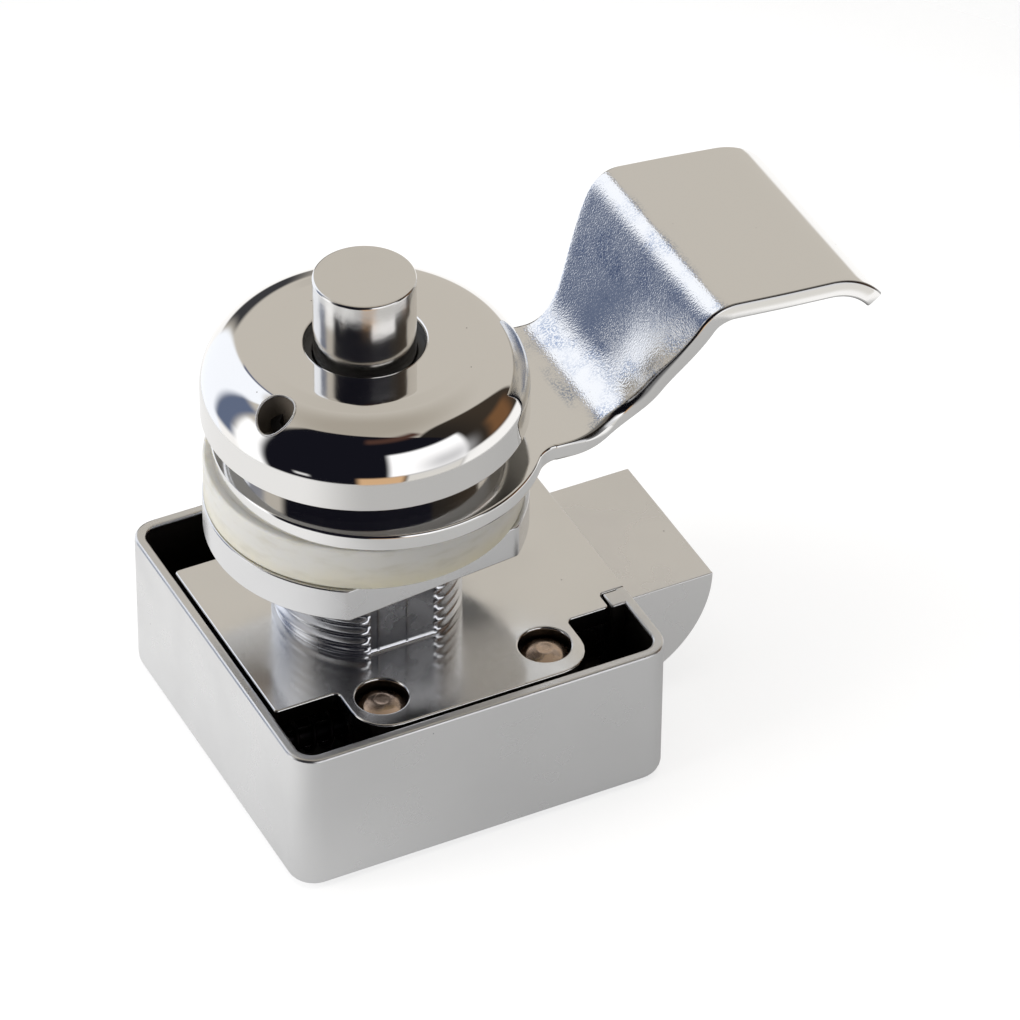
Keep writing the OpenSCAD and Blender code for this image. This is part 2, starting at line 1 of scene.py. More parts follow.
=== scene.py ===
from math import acos, asin, atan2, copysign, cos, degrees, exp, hypot, log, pi, radians, sin, sqrt, tan

import bmesh
import bpy
from mathutils import Matrix, Vector


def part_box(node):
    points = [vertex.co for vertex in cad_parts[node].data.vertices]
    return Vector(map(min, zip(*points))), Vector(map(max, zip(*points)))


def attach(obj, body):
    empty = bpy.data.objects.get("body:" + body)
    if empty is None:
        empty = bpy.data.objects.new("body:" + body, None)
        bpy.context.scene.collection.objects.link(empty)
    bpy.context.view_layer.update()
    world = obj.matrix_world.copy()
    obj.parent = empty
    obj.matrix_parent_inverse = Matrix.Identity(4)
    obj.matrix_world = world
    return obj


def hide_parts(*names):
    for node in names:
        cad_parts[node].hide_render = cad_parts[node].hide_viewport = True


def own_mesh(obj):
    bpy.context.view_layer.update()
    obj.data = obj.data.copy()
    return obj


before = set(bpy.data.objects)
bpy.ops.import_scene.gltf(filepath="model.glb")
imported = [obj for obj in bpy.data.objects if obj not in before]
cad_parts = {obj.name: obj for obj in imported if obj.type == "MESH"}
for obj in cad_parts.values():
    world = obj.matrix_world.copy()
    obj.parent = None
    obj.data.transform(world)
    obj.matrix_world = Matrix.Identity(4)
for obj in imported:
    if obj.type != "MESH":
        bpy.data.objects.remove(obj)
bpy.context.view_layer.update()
print("frame loaded:", len(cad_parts), "nodes")

mm = 0.001
lockBody, buttonBody, boltBody = "lock_body", "button", "bolt"


def scaled(value):
    return [scaled(each) for each in value] if isinstance(value, (list, tuple)) else value * mm


def inMm(**lengths):  # lengths, and lists of lengths, given in mm
    return {name: scaled(value) for name, value in lengths.items()}


# Shader graphs: a wire stands for a socket and does maths on it

class Wire:
    def __init__(self, graph, socket):
        self.graph = graph
        self.socket = socket


for sign, operation in {"add": "ADD", "sub": "SUBTRACT", "mul": "MULTIPLY", "pow": "POWER"}.items():
    setattr(Wire, f"__{sign}__", lambda a, b, operation=operation: a.graph.maths(operation, a, b))
    setattr(Wire, f"__r{sign}__", lambda a, b, operation=operation: a.graph.maths(operation, b, a))


class Graph:
    def __init__(self, tree):
        self.tree = tree
        tree.nodes.clear()

    def node(self, kind, inputs=None, out=0, **settings):
        made = self.tree.nodes.new(kind)
        for key, value in settings.items():
            setattr(made, key, value)
        for key, value in (inputs or {}).items():
            socket = made.inputs[key]
            if isinstance(value, Wire):
                self.tree.links.new(value.socket, socket)
            else:
                socket.default_value = value
        return Wire(self, made.outputs[out]) if len(made.outputs) else made

    def maths(self, operation, a, b=0.0):
        return self.node("ShaderNodeMath", {0: a, 1: b}, operation=operation)

    def step(self, value, low, high):  # smooth 0 to 1 between low and high
        return self.node("ShaderNodeMapRange", {"Value": value, "From Min": low, "From Max": high},
                         interpolation_type="SMOOTHSTEP")

    def within(self, value, low, high, soft):  # 1 between low and high
        return self.step(value, low - soft, low + soft) * (1 - self.step(value, high - soft, high + soft))

    def blend(self, share, a, b):  # colours a and b
        return self.node("ShaderNodeMix", {0: share, 6: a, 7: b}, out=2, data_type="RGBA")

    def noise(self, place, scale, detail):
        return self.node("ShaderNodeTexNoise", {"Vector": place, "Scale": scale, "Detail": detail})

    def part(self, place, axis):
        return self.node("ShaderNodeSeparateXYZ", {0: place}, out="XYZ".index(axis))

    def bump(self, height):
        return self.node("ShaderNodeBump", {"Strength": 1.0, "Distance": 1.0, "Height": height})


def rgba(tone, share=1.0):
    return (*[c * share for c in tone], 1.0)


def newMaterial(name):  # with its graph and the place on the object
    material = bpy.data.materials.new(name)
    material.use_nodes = True
    g = Graph(material.node_tree)
    return material, g, g.node("ShaderNodeTexCoord", out=3)


def finished(material, g, inputs):
    shader = g.node("ShaderNodeBsdfPrincipled", inputs)
    g.node("ShaderNodeOutputMaterial", {0: shader})
    return material


# Metal with smudges in its gloss, a fine grain and a few dark specks; zones and seams are bands along X, and
# a zone paints reflection into the colour
metalLook = {
    "smear": (0.35, 0.75),
    "cloud": (0.3, 0.8),
    "cloudScale": 0.4,
    "cloudTone": 0.55,
    "speckScale": 330.0,
    "speckCore": 0.7,
    "speckTone": 0.2,
    "speckShare": 0.8,
    "speckRough": 0.3,
}


def metalFinish(name, tone, rough, smudge=0.03, smudgeScale=160, grain=0.0, grainScale=1800, wave=0.0,
                waveScale=220, specks=0.0, cloud=0.0, zone=None, seams=None):
    look = metalLook
    material, g, place = newMaterial(name)
    smear = g.step(g.noise(place, smudgeScale, 4), *look["smear"])
    roughness = rough + smear * smudge
    shade = g.step(g.noise(place, smudgeScale * look["cloudScale"], 3), *look["cloud"]) * cloud
    colour = g.blend(shade, rgba(tone), rgba(tone, look["cloudTone"]))
    height = g.noise(place, waveScale, 2) * wave
    share = 1.0
    if zone:
        colour, roughness, share = zoneLook(g, place, zone, colour, roughness)
    if grain:
        height = height + g.noise(place, grainScale, 1) * share * grain
    if seams:
        x, z = g.part(place, "X"), g.part(place, "Z")
        low, width = seams["low"], seams["width"]
        for at in seams["x"]:
            near = 1 - g.step(g.maths("ABSOLUTE", x - at), 0.0, width)
            height = height + near * g.step(z, low, low + 2 * width) * seams["rise"]
    if specks:
        spot = g.node("ShaderNodeTexVoronoi", {"Vector": place, "Scale": look["speckScale"]})
        spot = 1 - g.step(spot, specks * look["speckCore"], specks)
        colour = g.blend(spot * look["speckShare"], colour, rgba(tone, look["speckTone"]))
        roughness = roughness + spot * look["speckRough"]
    return finished(material, g, {
        "Base Color": colour, "Roughness": roughness, "Metallic": 1.0, "Normal": g.bump(height)})


def zoneLook(g, place, zone, colour, roughness):  # painted bluish reflection in patches on the broad faces, and a painted dark reflection on the near rolled edge
    x = g.part(place, "X")
    facing = g.part(g.node("ShaderNodeNewGeometry", out=1), "Y")
    broad = 1 - g.step(g.maths("ABSOLUTE", facing), *zone["cutEdge"])
    share = g.within(x, *zone["x"]) * broad
    near = -1 * facing
    # Painted dark reflection along the near edge where it is rolled
    rolled = g.step(near, *zone["edgeFrom"]) * (1 - g.step(near, *zone["edgeTo"]))
    rolled = rolled * g.step(x, *zone["rolled"])
    colour = g.blend(rolled * zone["edgeReflectionShare"], colour, rgba(zone["edgeReflectionTone"]))
    # Painted bluish reflection in patches and flecks
    patchy = g.step(g.noise(place, zone["patchScale"], 3), *zone["patch"])
    fleck = g.step(g.noise(place, zone["fleckScale"], 2), *zone["fleck"])
    colour = g.blend(share * patchy * fleck, colour, rgba(zone["tone"]))
    roughness = roughness + rolled * zone["edgeRough"] + share * zone["rough"]
    return colour, roughness, share


# Moulded plastic with a cloudy tint; rise is the height over which tone passes to upper
plasticLook = {
    "cloudScale": 110,
    "streakScale": 300,
    "streaks": (0.45, 0.75),
    "streakShare": 0.4,
    "streakTone": 0.72,
    "glossScale": 900,
    "gloss": 0.12,
    "grainScale": 700,
    "grain": 4e-6,
    "scatter": (3 * mm, 2.6 * mm, 1.6 * mm),
}


def plasticFinish(name, tone, upper, rise, rough, seeThrough=0.0, glow=0.0):
    look = plasticLook
    material, g, place = newMaterial(name)
    cloud = g.noise(place, look["cloudScale"], 4) - 0.5
    share = g.step(g.part(place, "Z") + cloud * (rise[1] - rise[0]), *rise)
    colour = g.blend(share, rgba(tone), rgba(upper))
    stretched = g.node("ShaderNodeMapping", {"Vector": place, "Scale": (1, 1, 3)})
    streaks = g.step(g.noise(stretched, look["streakScale"], 4), *look["streaks"])
    colour = g.blend(streaks * look["streakShare"], colour, rgba(tone, look["streakTone"]))
    roughness = rough + g.noise(place, look["glossScale"], 2) * look["gloss"]
    bump = g.bump(g.noise(place, look["grainScale"], 2) * look["grain"])
    return finished(material, g, {
        "Base Color": colour, "Roughness": roughness, "Normal": bump, "Transmission Weight": seeThrough,
        "Subsurface Weight": glow, "Subsurface Radius": look["scatter"], "Subsurface Scale": 1.0})


# The web's zone paints reflection: bluish patches on its broad faces and a dark band along its near rolled
# edge
webZone = {
    "x": (20.8 * mm, 34.5 * mm, 0.5 * mm),
    "cutEdge": (0.25, 0.5),
    "rough": 0.02,
    "tone": (0.34, 0.4, 0.52),
    "patchScale": 260,
    "patch": (0.4, 0.7),
    "fleckScale": 4600,
    "fleck": (0.4, 0.62),
    "rolled": (16 * mm, 20 * mm),
    "edgeFrom": (0.2, 0.4),
    "edgeTo": (0.8, 0.95),
    "edgeReflectionTone": (0.2, 0.2, 0.205),
    "edgeReflectionShare": 0.85,
    "edgeRough": 0.1,
}
neckSeams = {"x": (-2.75 * mm, 0.54 * mm), "width": 0.16 * mm, "low": 17.6 * mm, "rise": 9e-5}

finishes = {
    "rosette": metalFinish("rosetteChrome", (0.82, 0.81, 0.795), 0.03, 0.035, wave=1.2e-6, specks=0.03),
    # Painted shade: dark brown walls inside the set screw's hole
    "screwHole": plasticFinish("holePaintedShade", (0.15, 0.127, 0.1), (0.11, 0.093, 0.075),
                               (44 * mm, 50 * mm), 0.5),
    # Painted shade: dark metal under the cap, for the shade in the gap over the pull
    "capUnderShade": metalFinish("capUnderShade", (0.3, 0.295, 0.285), 0.3, 0.1, grain=5e-6),
    "holeRim": metalFinish("holeRim", (0.86, 0.855, 0.85), 0.4, 0.1, grain=4e-6),
    "button": metalFinish("buttonChrome", (0.8, 0.79, 0.775), 0.15, 0.1, wave=1.6e-5, waveScale=600,
                          specks=0.02),
    "cover": metalFinish("coverPolish", (0.82, 0.815, 0.805), 0.12, 0.1, wave=3e-6, cloud=0.12, specks=0.03),
    "neck": metalFinish("neckCast", (0.74, 0.75, 0.78), 0.2, 0.12, grain=4e-6, cloud=0.1, seams=neckSeams),
    # Painted shade: near-black walls and floors in the rivets' recesses
    "recess": metalFinish("recessPaintedShade", (0.06, 0.05, 0.042), 0.3, 0.15, grain=8e-6),
    "case": metalFinish("caseSatin", (0.77, 0.77, 0.77), 0.27, 0.12, grain=4e-6, grainScale=1500, cloud=0.1,
                        specks=0.025),
    # Painted shade: near-black walls and floor inside the case
    "caseInsideShade": metalFinish("caseInsideShade", (0.06, 0.052, 0.046), 0.55, 0.1, grain=2e-5, grainScale=900),
    "nut": metalFinish("nutSatin", (0.76, 0.76, 0.765), 0.22, 0.1, grain=3e-6, grainScale=1600, cloud=0.08),
    "pull": metalFinish("pullSheet", (0.83, 0.825, 0.815), 0.07, 0.05, grain=2.0e-5, grainScale=5200,
                        wave=3e-6, specks=0.03, zone=webZone),
    "bolt": metalFinish("boltSatin", (0.82, 0.815, 0.81), 0.24, 0.1, grain=5e-6, grainScale=1300, cloud=0.1,
                        specks=0.04),
    "rivet": metalFinish("rivetCopper", (0.6, 0.46, 0.36), 0.17, 0.15, grain=3e-5, grainScale=900, cloud=0.6,
                         smudgeScale=700),
    "spring": metalFinish("springWire", (0.3, 0.3, 0.31), 0.3, 0.1, grain=5e-6),
    "innerSteel": metalFinish("turnedSteel", (0.45, 0.45, 0.45), 0.3, 0.1, grain=6e-6, cloud=0.2),
    "darkSteel": metalFinish("darkSteel", (0.1, 0.1, 0.1), 0.35, 0.1, grain=6e-6),
    "washer": plasticFinish("washerNylon", (0.64, 0.6, 0.47), (0.62, 0.61, 0.575), (31.6 * mm, 35.5 * mm),
                            0.26, seeThrough=0.08, glow=0.27),
    "bush": plasticFinish("bushBlack", (0.012, 0.012, 0.013), (0.02, 0.02, 0.02), (47 * mm, 50 * mm), 0.3),
}
print("finishes made:", len(finishes))


# Mesh helpers

def linked(name, data):  # a new object in the scene
    thing = bpy.data.objects.new(name, data)
    bpy.context.scene.collection.objects.link(thing)
    return thing


def addPiece(name, mesh, finish, body, nodes, sharp=32):  # finish: one name, or one for each index
    mesh.shade_smooth()
    if sharp:
        mesh.set_sharp_from_angle(angle=radians(sharp))
    if not mesh.materials:
        for each in [finish] if isinstance(finish, str) else finish:
            mesh.materials.append(finishes[each])
    piece = linked(name, mesh)
    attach(piece, body)
    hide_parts(*nodes)
    return piece


def paint(mesh, choose):  # choose gives a face's place in the piece's finishes
    for face in mesh.polygons:
        face.material_index = choose(face)


def meshFrom(name, points, faces):
    mesh = bpy.data.meshes.new(name)
    mesh.from_pydata(points, [], faces)
    mesh.validate()
    return tidy(mesh)


def tidy(mesh):  # closed seams and faces that point outwards
    bm = bmesh.new()
    bm.from_mesh(mesh)
    bmesh.ops.remove_doubles(bm, verts=bm.verts, dist=1e-7)
    bmesh.ops.recalc_face_normals(bm, faces=bm.faces)
    bm.to_mesh(mesh)
    bm.free()
    return mesh


def polar(r, turn):
    return r * cos(radians(turn)), r * sin(radians(turn))


def arc(cx, cy, r, a0, a1, n=8):
    spots = [polar(r, a0 + (a1 - a0) * i / n) for i in range(n + 1)]
    return [(cx + x, cy + y) for x, y in spots]


def bend(r, angles=range(0, 91, 15)):  # (inset, lift) at each angle round an edge of radius r
    return [(r * (1 - sin(radians(a))), r * (1 - cos(radians(a)))) for a in angles]


def loft(name, rings, closed=False):  # skin over rings, with end caps or closed into a loop
    count = len(rings[0])
    points = [p for ring in rings for p in ring]
    faces = []
    for i in range(len(rings) if closed else len(rings) - 1):
        a, b = i * count, (i + 1) % len(rings) * count
        for j in range(count):
            k = (j + 1) % count
            faces.append((a + j, a + k, b + k, b + j))
    if not closed:
        faces.append(tuple(range(count))[::-1])
        faces.append(tuple(range(len(points) - count, len(points))))
    return meshFrom(name, points, faces)


def drawn(name, outline, heights):  # the same outline at each height
    return loft(name, [[(x, y, z) for x, y in outline] for z in heights])


def lathe(name, outline, steps=192):  # outline of (radius, height), a closed loop round the axis
    rings = []
    for i in range(steps):
        turn = 2 * pi * i / steps
        rings.append([(r * cos(turn), r * sin(turn), z) for r, z in outline])
    return loft(name, rings, closed=True)


def held(outline, gap=0.02 * mm, long=0.7 * mm):  # extra points at the ends of long stretches keep them flat
    result = []
    for i, here in enumerate(outline):
        before, after = Vector(outline[i - 1]), Vector(outline[(i + 1) % len(outline)])
        spot = Vector(here)
        if (before - spot).length > long:
            result.append(tuple(spot + (before - spot).normalized() * gap))
        result.append(here)
        if (after - spot).length > long:
            result.append(tuple(spot + (after - spot).normalized() * gap))
    return result


def baked(thing):
    graph = bpy.context.evaluated_depsgraph_get()
    graph.update()
    return bpy.data.meshes.new_from_object(thing.evaluated_get(graph))


def cut(mesh, cutters):  # takes the cutters' shapes out of the mesh
    work = linked("work", mesh)
    tools = [linked("tool", cutter) for cutter in cutters]
    for tool in tools:
        modifier = work.modifiers.new("cut", "BOOLEAN")
        modifier.operation = "DIFFERENCE"
        modifier.solver = "EXACT"
        modifier.object = tool
    result = baked(work)
    for thing in [work, *tools]:
        bpy.data.objects.remove(thing)
    return result


def block(x0, x1, y0, y1, z0, z1):
    points = [(x, y, z) for z in (z0, z1) for x, y in ((x0, y0), (x1, y0), (x1, y1), (x0, y1))]
    faces = [(3, 2, 1, 0), (4, 5, 6, 7), (0, 1, 5, 4), (1, 2, 6, 5), (2, 3, 7, 6), (3, 0, 4, 7)]
    return meshFrom("block", points, faces)


def tube(r, z0, z1, steps=64):
    return drawn("tube", arc(0, 0, r, 0, 360 - 360 / steps, steps - 1), (z0, z1))


def joined(name, meshes):
    bm = bmesh.new()
    for mesh in meshes:
        bm.from_mesh(mesh)
    result = bpy.data.meshes.new(name)
    bm.to_mesh(result)
    bm.free()
    return result


def softened(mesh, width, angle=35):  # rounds the edges and keeps the flats flat
    work = linked("work", mesh)
    bevel = work.modifiers.new("edges", "BEVEL")
    bevel.width = width
    bevel.segments = 3
    bevel.limit_method = "ANGLE"
    bevel.angle_limit = radians(angle)
    result = baked(work)
    bpy.data.objects.remove(work)
    return result


def flatNormals(piece):
    modifier = piece.modifiers.new("flats", "WEIGHTED_NORMAL")
    modifier.weight = 90
    modifier.keep_sharp = True
    mesh = baked(piece)
    piece.modifiers.clear()
    piece.data = mesh


# Places that the pieces share, taken from the frame
caseLow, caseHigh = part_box("case")
coverLow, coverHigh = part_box("cover")
nutLow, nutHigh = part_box("clamp_nut")
washerLow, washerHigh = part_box("spacer_washer")
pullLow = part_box("finger_pull")[0]
rosetteLow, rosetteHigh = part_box("rosette")
buttonLow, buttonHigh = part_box("push_button")
bushLow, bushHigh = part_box("button_bush")
boltLow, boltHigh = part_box("latch_bolt")
rimZ = caseHigh.z
neckR = 10 * mm
threadBoreR = neckR + 0.05 * mm


# Rosette: turned and polished cap with a hub, and the set screw's hole on its shoulder
rosetteSizes = {
    **inMm(shoulder=5.5, flat=10.0, ease=0.8, hub=14.3, hubHeight=3.4, hubFillet=0.5, hole=6.2, rim=0.4,
           roof=2.8, edge=0.3, screwReach=14.0, screwHole=1.95, screwRim=0.13),
    "tilt": 8,
    "slopeSteps": 24,
    "screwTurn": 205,
}


def makeRosette():
    s = rosetteSizes
    top, outer = rosetteHigh.z, rosetteHigh.y
    bandLow = rosetteLow.z + s["hubHeight"]
    corner = outer - s["shoulder"]
    tilt = radians(s["tilt"])
    run, steps = corner + s["shoulder"] * sin(tilt) - s["flat"], s["slopeSteps"]
    slope, height = [], top
    for i in range(steps + 1):
        slope.append((s["flat"] + run * i / steps, height))
        height -= tan(capTilt(s["flat"] + run * (i + 0.5) / steps)) * run / steps
    bandHigh = slope[-1][1] - s["shoulder"] * cos(tilt)
    fillet = s["hubFillet"]
    outline = [(threadBoreR, rosetteLow.z), (s["hub"], rosetteLow.z)]
    outline += arc(s["hub"] + fillet, bandLow - fillet, fillet, 180, 90)
    outline += arc(outer - s["edge"], bandLow + s["edge"], s["edge"], -90, 0)
    outline += arc(corner, bandHigh, s["shoulder"], 0, 90 - s["tilt"], 60)[:-1]
    outline += slope[::-1]
    outline += arc(s["hole"] + s["rim"], top - s["rim"], s["rim"], 90, 180, 12)
    outline += [(s["hole"], top - s["roof"]), (threadBoreR, top - s["roof"])]
    mesh = lathe("rosette", held(outline), 400)
    reach = s["screwReach"] - corner
    mouth = Vector((s["screwReach"], 0, bandHigh + sqrt(s["shoulder"] ** 2 - reach ** 2)))
    hole, depth, over = s["screwHole"], s["screwReach"] - neckR, 3 * mm
    cutter = lathe("screwHole", [(1e-6, -depth), (hole, -depth), (hole, over), (1e-6, over)], 96)
    placing = Matrix.Rotation(radians(s["screwTurn"]), 4, "Z") @ Matrix.Translation(mouth)
    cutter.transform(placing)
    mesh = cut(mesh, [tidy(cutter)])
    inward = placing.inverted()
    near = 0.01 * mm

    def finishAt(face):
        # The cap's underside beyond the hub takes the painted shade
        if face.normal.z < -0.9 and hypot(face.center.x, face.center.y) > s["hub"]:
            return 3
        # The set screw's hole walls take the painted shade
        spot = inward @ face.center
        wall = abs(hypot(spot.x, spot.y) - hole) < near or abs(spot.z + depth) < near
        return 1 if wall and spot.length < depth * 1.1 else 0

    paint(mesh, finishAt)
    rim = mouthRim(placing, corner, bandHigh)
    paint(rim, lambda face: 2)
    mesh = joined("rosette", [mesh, rim])
    addPiece("rosetteCap", mesh, ("rosette", "screwHole", "holeRim", "capUnderShade"), lockBody,
             ["rosette"], sharp=40)
    trueNormals(mesh, top, outer, corner, bandHigh)


def capTilt(rho):  # slope of the cap's top outside its flat
    s = rosetteSizes
    share = max(0.0, min(1.0, (rho - s["flat"]) / s["ease"]))
    return radians(s["tilt"]) * share * share * (3 - 2 * share)


def mouthRim(placing, corner, bandHigh, steps=96):  # fine burr along the edge of the set screw's hole
    s = rosetteSizes
    spots, outs = [], []
    for i in range(steps):
        turn = 2 * pi * i / steps
        low, high = -4 * mm, 4 * mm
        for halving in range(40):
            reach = (low + high) / 2
            spot = placing @ Vector((s["screwHole"] * cos(turn), s["screwHole"] * sin(turn), reach))
            rho = hypot(spot.x, spot.y)
            out = Vector((spot.x, spot.y, 0)) / rho * max(rho - corner, 0)
            out += Vector((0, 0, spot.z - bandHigh))
            low, high = (low, reach) if out.length > s["shoulder"] else (reach, high)
        spots.append(spot)
        outs.append(out.normalized())
    rings = []
    for i, (spot, out) in enumerate(zip(spots, outs)):
        along = (spots[(i + 1) % steps] - spots[i - 1]).normalized()
        aside = along.cross(out)
        rings.append([spot + (out * sin(a) + aside * cos(a)) * s["screwRim"]
                      for a in (2 * pi * k / 10 for k in range(10))])
    return loft("mouthRim", rings, closed=True)


def trueNormals(mesh, top, outer, corner, bandHigh):  # the turned surface's own normals, free of facets
    near, slopeDepth = 0.005 * mm, 0.7 * mm
    normals = []
    for face in mesh.polygons:
        for loop in face.loop_indices:
            normal = mesh.corner_normals[loop].vector.copy()
            spot = mesh.vertices[mesh.loops[loop].vertex_index].co
            rho = hypot(spot.x, spot.y)
            radial = Vector((spot.x, spot.y, 0)) / rho
            bend = hypot(rho - corner, spot.z - bandHigh)
            exact = None
            if rho > corner and spot.z > bandHigh and abs(bend - outer + corner) < near:
                exact = (radial * (rho - corner) + Vector((0, 0, spot.z - bandHigh))).normalized()
            elif spot.z > top - slopeDepth and rho > rosetteSizes["hole"] + rosetteSizes["rim"] - near:
                exact = radial * sin(capTilt(rho)) + Vector((0, 0, cos(capTilt(rho))))
            elif abs(rho - outer) < near:
                exact = radial
            normals.append(exact if exact and exact.dot(face.normal) > 0.9 else normal)
    mesh.normals_split_custom_set(normals)


# Button: turned, with the clip's groove low on its shank
buttonSizes = inMm(edge=0.3, groove=0.6, grooveLow=3.3, grooveHigh=4.1, spigot=3.05, spigotDepth=11.1)


def makeButton():
    s = buttonSizes
    r, low, high = buttonHigh.x, buttonLow.z, buttonHigh.z
    grooveLow, grooveHigh, inner = low + s["grooveLow"], low + s["grooveHigh"], r - s["groove"]
    outline = [(s["spigot"], low), (r, low), (r, grooveLow), (inner, grooveLow), (inner, grooveHigh),
               (r, grooveHigh)]
    outline += arc(r - s["edge"], high - s["edge"], s["edge"], 0, 90)
    outline += [(1e-6, high), (1e-6, low + s["spigotDepth"]), (s["spigot"], low + s["spigotDepth"])]
    mesh = lathe("button", held(outline))
    addPiece("pushButton", mesh, "button", buttonBody, ["push_button"], sharp=40)


# Bush: black moulded ring under the rosette's roof
bushSizes = inMm(flange=1.2, edge=0.2, collar=6.35, gap=0.05)


def makeBush():
    s = bushSizes
    bore, low, high, edge = buttonHigh.x + s["gap"], bushLow.z, bushHigh.z, s["edge"]
    outline = [(bore, low), (bushHigh.x, low), (bushHigh.x, low + s["flange"]),
               (s["collar"], low + s["flange"])]
    outline += arc(s["collar"] - edge, high - edge, edge, 0, 90, 5)
    outline += arc(bore + edge, high - edge, edge, 90, 180, 5)
    mesh = lathe("bush", held(outline), 128)
    addPiece("buttonBush", mesh, "bush", lockBody, ["button_bush"])


# Nut: finely bevelled, with two flats, and set a little higher than in the frame
nutSizes = {**inMm(flats=13.6, lift=0.7, corner=0.06, edge=0.18), "turn": 5.2}


def nutRing(inset, z, bore=None):  # the nut's outline with eased corners, or its bore at the same turns
    s = nutSizes
    r = washerHigh.x
    corner = degrees(asin(s["flats"] / r))
    stretches = [(-corner, corner, 72), (corner, 180 - corner, 40), (180 - corner, 180 + corner, 72),
                 (180 + corner, 360 - corner, 40)]
    points = []
    for turn in (a + (b - a) * i / n for a, b, n in stretches for i in range(n)):
        angle = radians(turn)
        flat = (s["flats"] - inset) / max(abs(sin(angle)), 1e-6)
        soft = s["corner"] * log(1 + exp(-abs(r - inset - flat) / s["corner"]))
        reach = bore or min(r - inset, flat) - soft
        spin = angle + radians(s["turn"])
        points.append((reach * cos(spin), reach * sin(spin), z))
    return points


def makeNut():
    s = nutSizes
    low, high = nutLow.z + s["lift"], nutHigh.z + s["lift"]
    edge = bend(s["edge"], (0, 22, 45, 68, 90))
    rings = [nutRing(0, low, threadBoreR)]
    rings += [nutRing(inset, low + lift) for inset, lift in edge]
    rings += [nutRing(inset, high - lift) for inset, lift in reversed(edge)]
    rings += [nutRing(0, high, threadBoreR)]
    mesh = loft("nut", rings, closed=True)
    flatNormals(addPiece("clampNut", mesh, "nut", lockBody, ["clamp_nut"], sharp=40))


# Washer: round moulding with soft edges on top of the nut, which sits loosely, a little to one side
washerSizes = inMm(outer=16.6, bore=10.35, edge=0.3, aside=(-0.12, 0.1, 0))


def makeWasher():
    s = washerSizes
    low, high, edge = washerLow.z + nutSizes["lift"], washerHigh.z, s["edge"]
    outline = [(s["bore"], low)]
    outline += arc(s["outer"] - edge, low + edge, edge, -90, 0, 5)
    outline += arc(s["outer"] - edge, high - edge, edge, 0, 90, 5)
    outline += [(s["bore"], high)]
    mesh = lathe("washer", held(outline))
    mesh.transform(Matrix.Translation(s["aside"]))
    addPiece("spacerWasher", mesh, "washer", lockBody, ["spacer_washer"])


# Cover: riveted plate cast in one with the neck, whose thread winds up in one helix
coverSizes = inMm(
    endHalf=12.6, endX=22.0, endRound=0.5, midHalf=13.2, midX=3.85, midRound=4.0, tongueHalf=10.3,
    tongueRound=0.4, inner=0.6, edge=0.22, rivetX=(-5.5, 13.2), rivetY=15.1, recess=2.75, recessDepth=1.6,
    recessRim=0.25, shank=1.55, pitch=1.4, depth=0.7, flat=8.55, threadEnd=1.3, threadStart=0.6, foot=0.45,
    bore=8.0, ledge=1.2, guide=4.55)
rootR = neckR - coverSizes["depth"]
flatEdge = sqrt(rootR ** 2 - coverSizes["flat"] ** 2)  # half the width of the neck's flats


def rounded(points, radii, n=6):  # outline with its corners rounded, inside and outside corners alike
    result = []
    for i, here in enumerate(points):
        spot, r = Vector(here), radii[i]
        a = (Vector(points[i - 1]) - spot).normalized()
        b = (Vector(points[(i + 1) % len(points)]) - spot).normalized()
        half = a.angle(b) / 2
        reach = r / tan(half)
        centre = spot + (a + b).normalized() * r / sin(half)
        start, end = spot + a * reach - centre, spot + b * reach - centre
        sweep = start.angle_signed(end)
        for k in range(n + 1):
            turn = -sweep * k / n
            result.append((centre.x + start.x * cos(turn) - start.y * sin(turn),
                           centre.y + start.x * sin(turn) + start.y * cos(turn)))
    return result


def rivetPlaces():
    return [(x, y) for x in coverSizes["rivetX"] for y in (-coverSizes["rivetY"], coverSizes["rivetY"])]


def makeCover():
    s = coverSizes
    midLow, midHigh = s["midX"] - s["midHalf"], s["midX"] + s["midHalf"]
    half = [(coverHigh.x, s["tongueHalf"], s["tongueRound"]), (s["endX"], s["tongueHalf"], s["tongueRound"]),
            (s["endX"], s["endHalf"], s["endRound"]), (midHigh, s["endHalf"], s["inner"]),
            (midHigh, coverHigh.y, s["midRound"]), (midLow, coverHigh.y, s["midRound"]),
            (midLow, s["endHalf"], s["inner"]), (coverLow.x, s["endHalf"], s["endRound"])]
    corners = half + [(x, -y, r) for x, y, r in reversed(half)]
    outline = rounded([(x, y) for x, y, r in corners], [r for x, y, r in corners])
    low = coverLow.z
    plate = softened(drawn("plate", outline, (low, rimZ)), s["edge"], 60)
    floor, rim = rimZ - s["recessDepth"], s["recessRim"]
    recess = [(1e-6, low - mm), (s["shank"], low - mm), (s["shank"], floor), (s["recess"], floor)]
    recess += arc(s["recess"] + rim, rimZ - rim, rim, 180, 90, 6)
    recess += [(s["recess"] + rim, rimZ + mm), (1e-6, rimZ + mm)]
    cutters = []
    for x, y in rivetPlaces():
        cutter = lathe("recess", recess, 64)
        cutter.transform(Matrix.Translation((x, y, 0)))
        cutters.append(cutter)
    cutters.append(tube(s["guide"], low - mm, rimZ + mm))
    plate = cut(plate, cutters)

    def finishAt(face):
        # Walls and floors of the rivets' recesses take the painted shade
        x, y, z = face.center
        near = min(hypot(x - px, y - py) for px, py in rivetPlaces())
        return 1 if near < s["recess"] * 1.01 and z < rimZ - rim else 0

    paint(plate, finishAt)
    neck = makeNeck()
    paint(neck, lambda face: 2)
    mesh = joined("cover", [plate, neck])
    flatNormals(addPiece("coverPlate", mesh, ("cover", "recess", "neck"), lockBody, ["cover"],
                         sharp=50))


def clamped(value):
    return min(1.0, max(0.0, value))


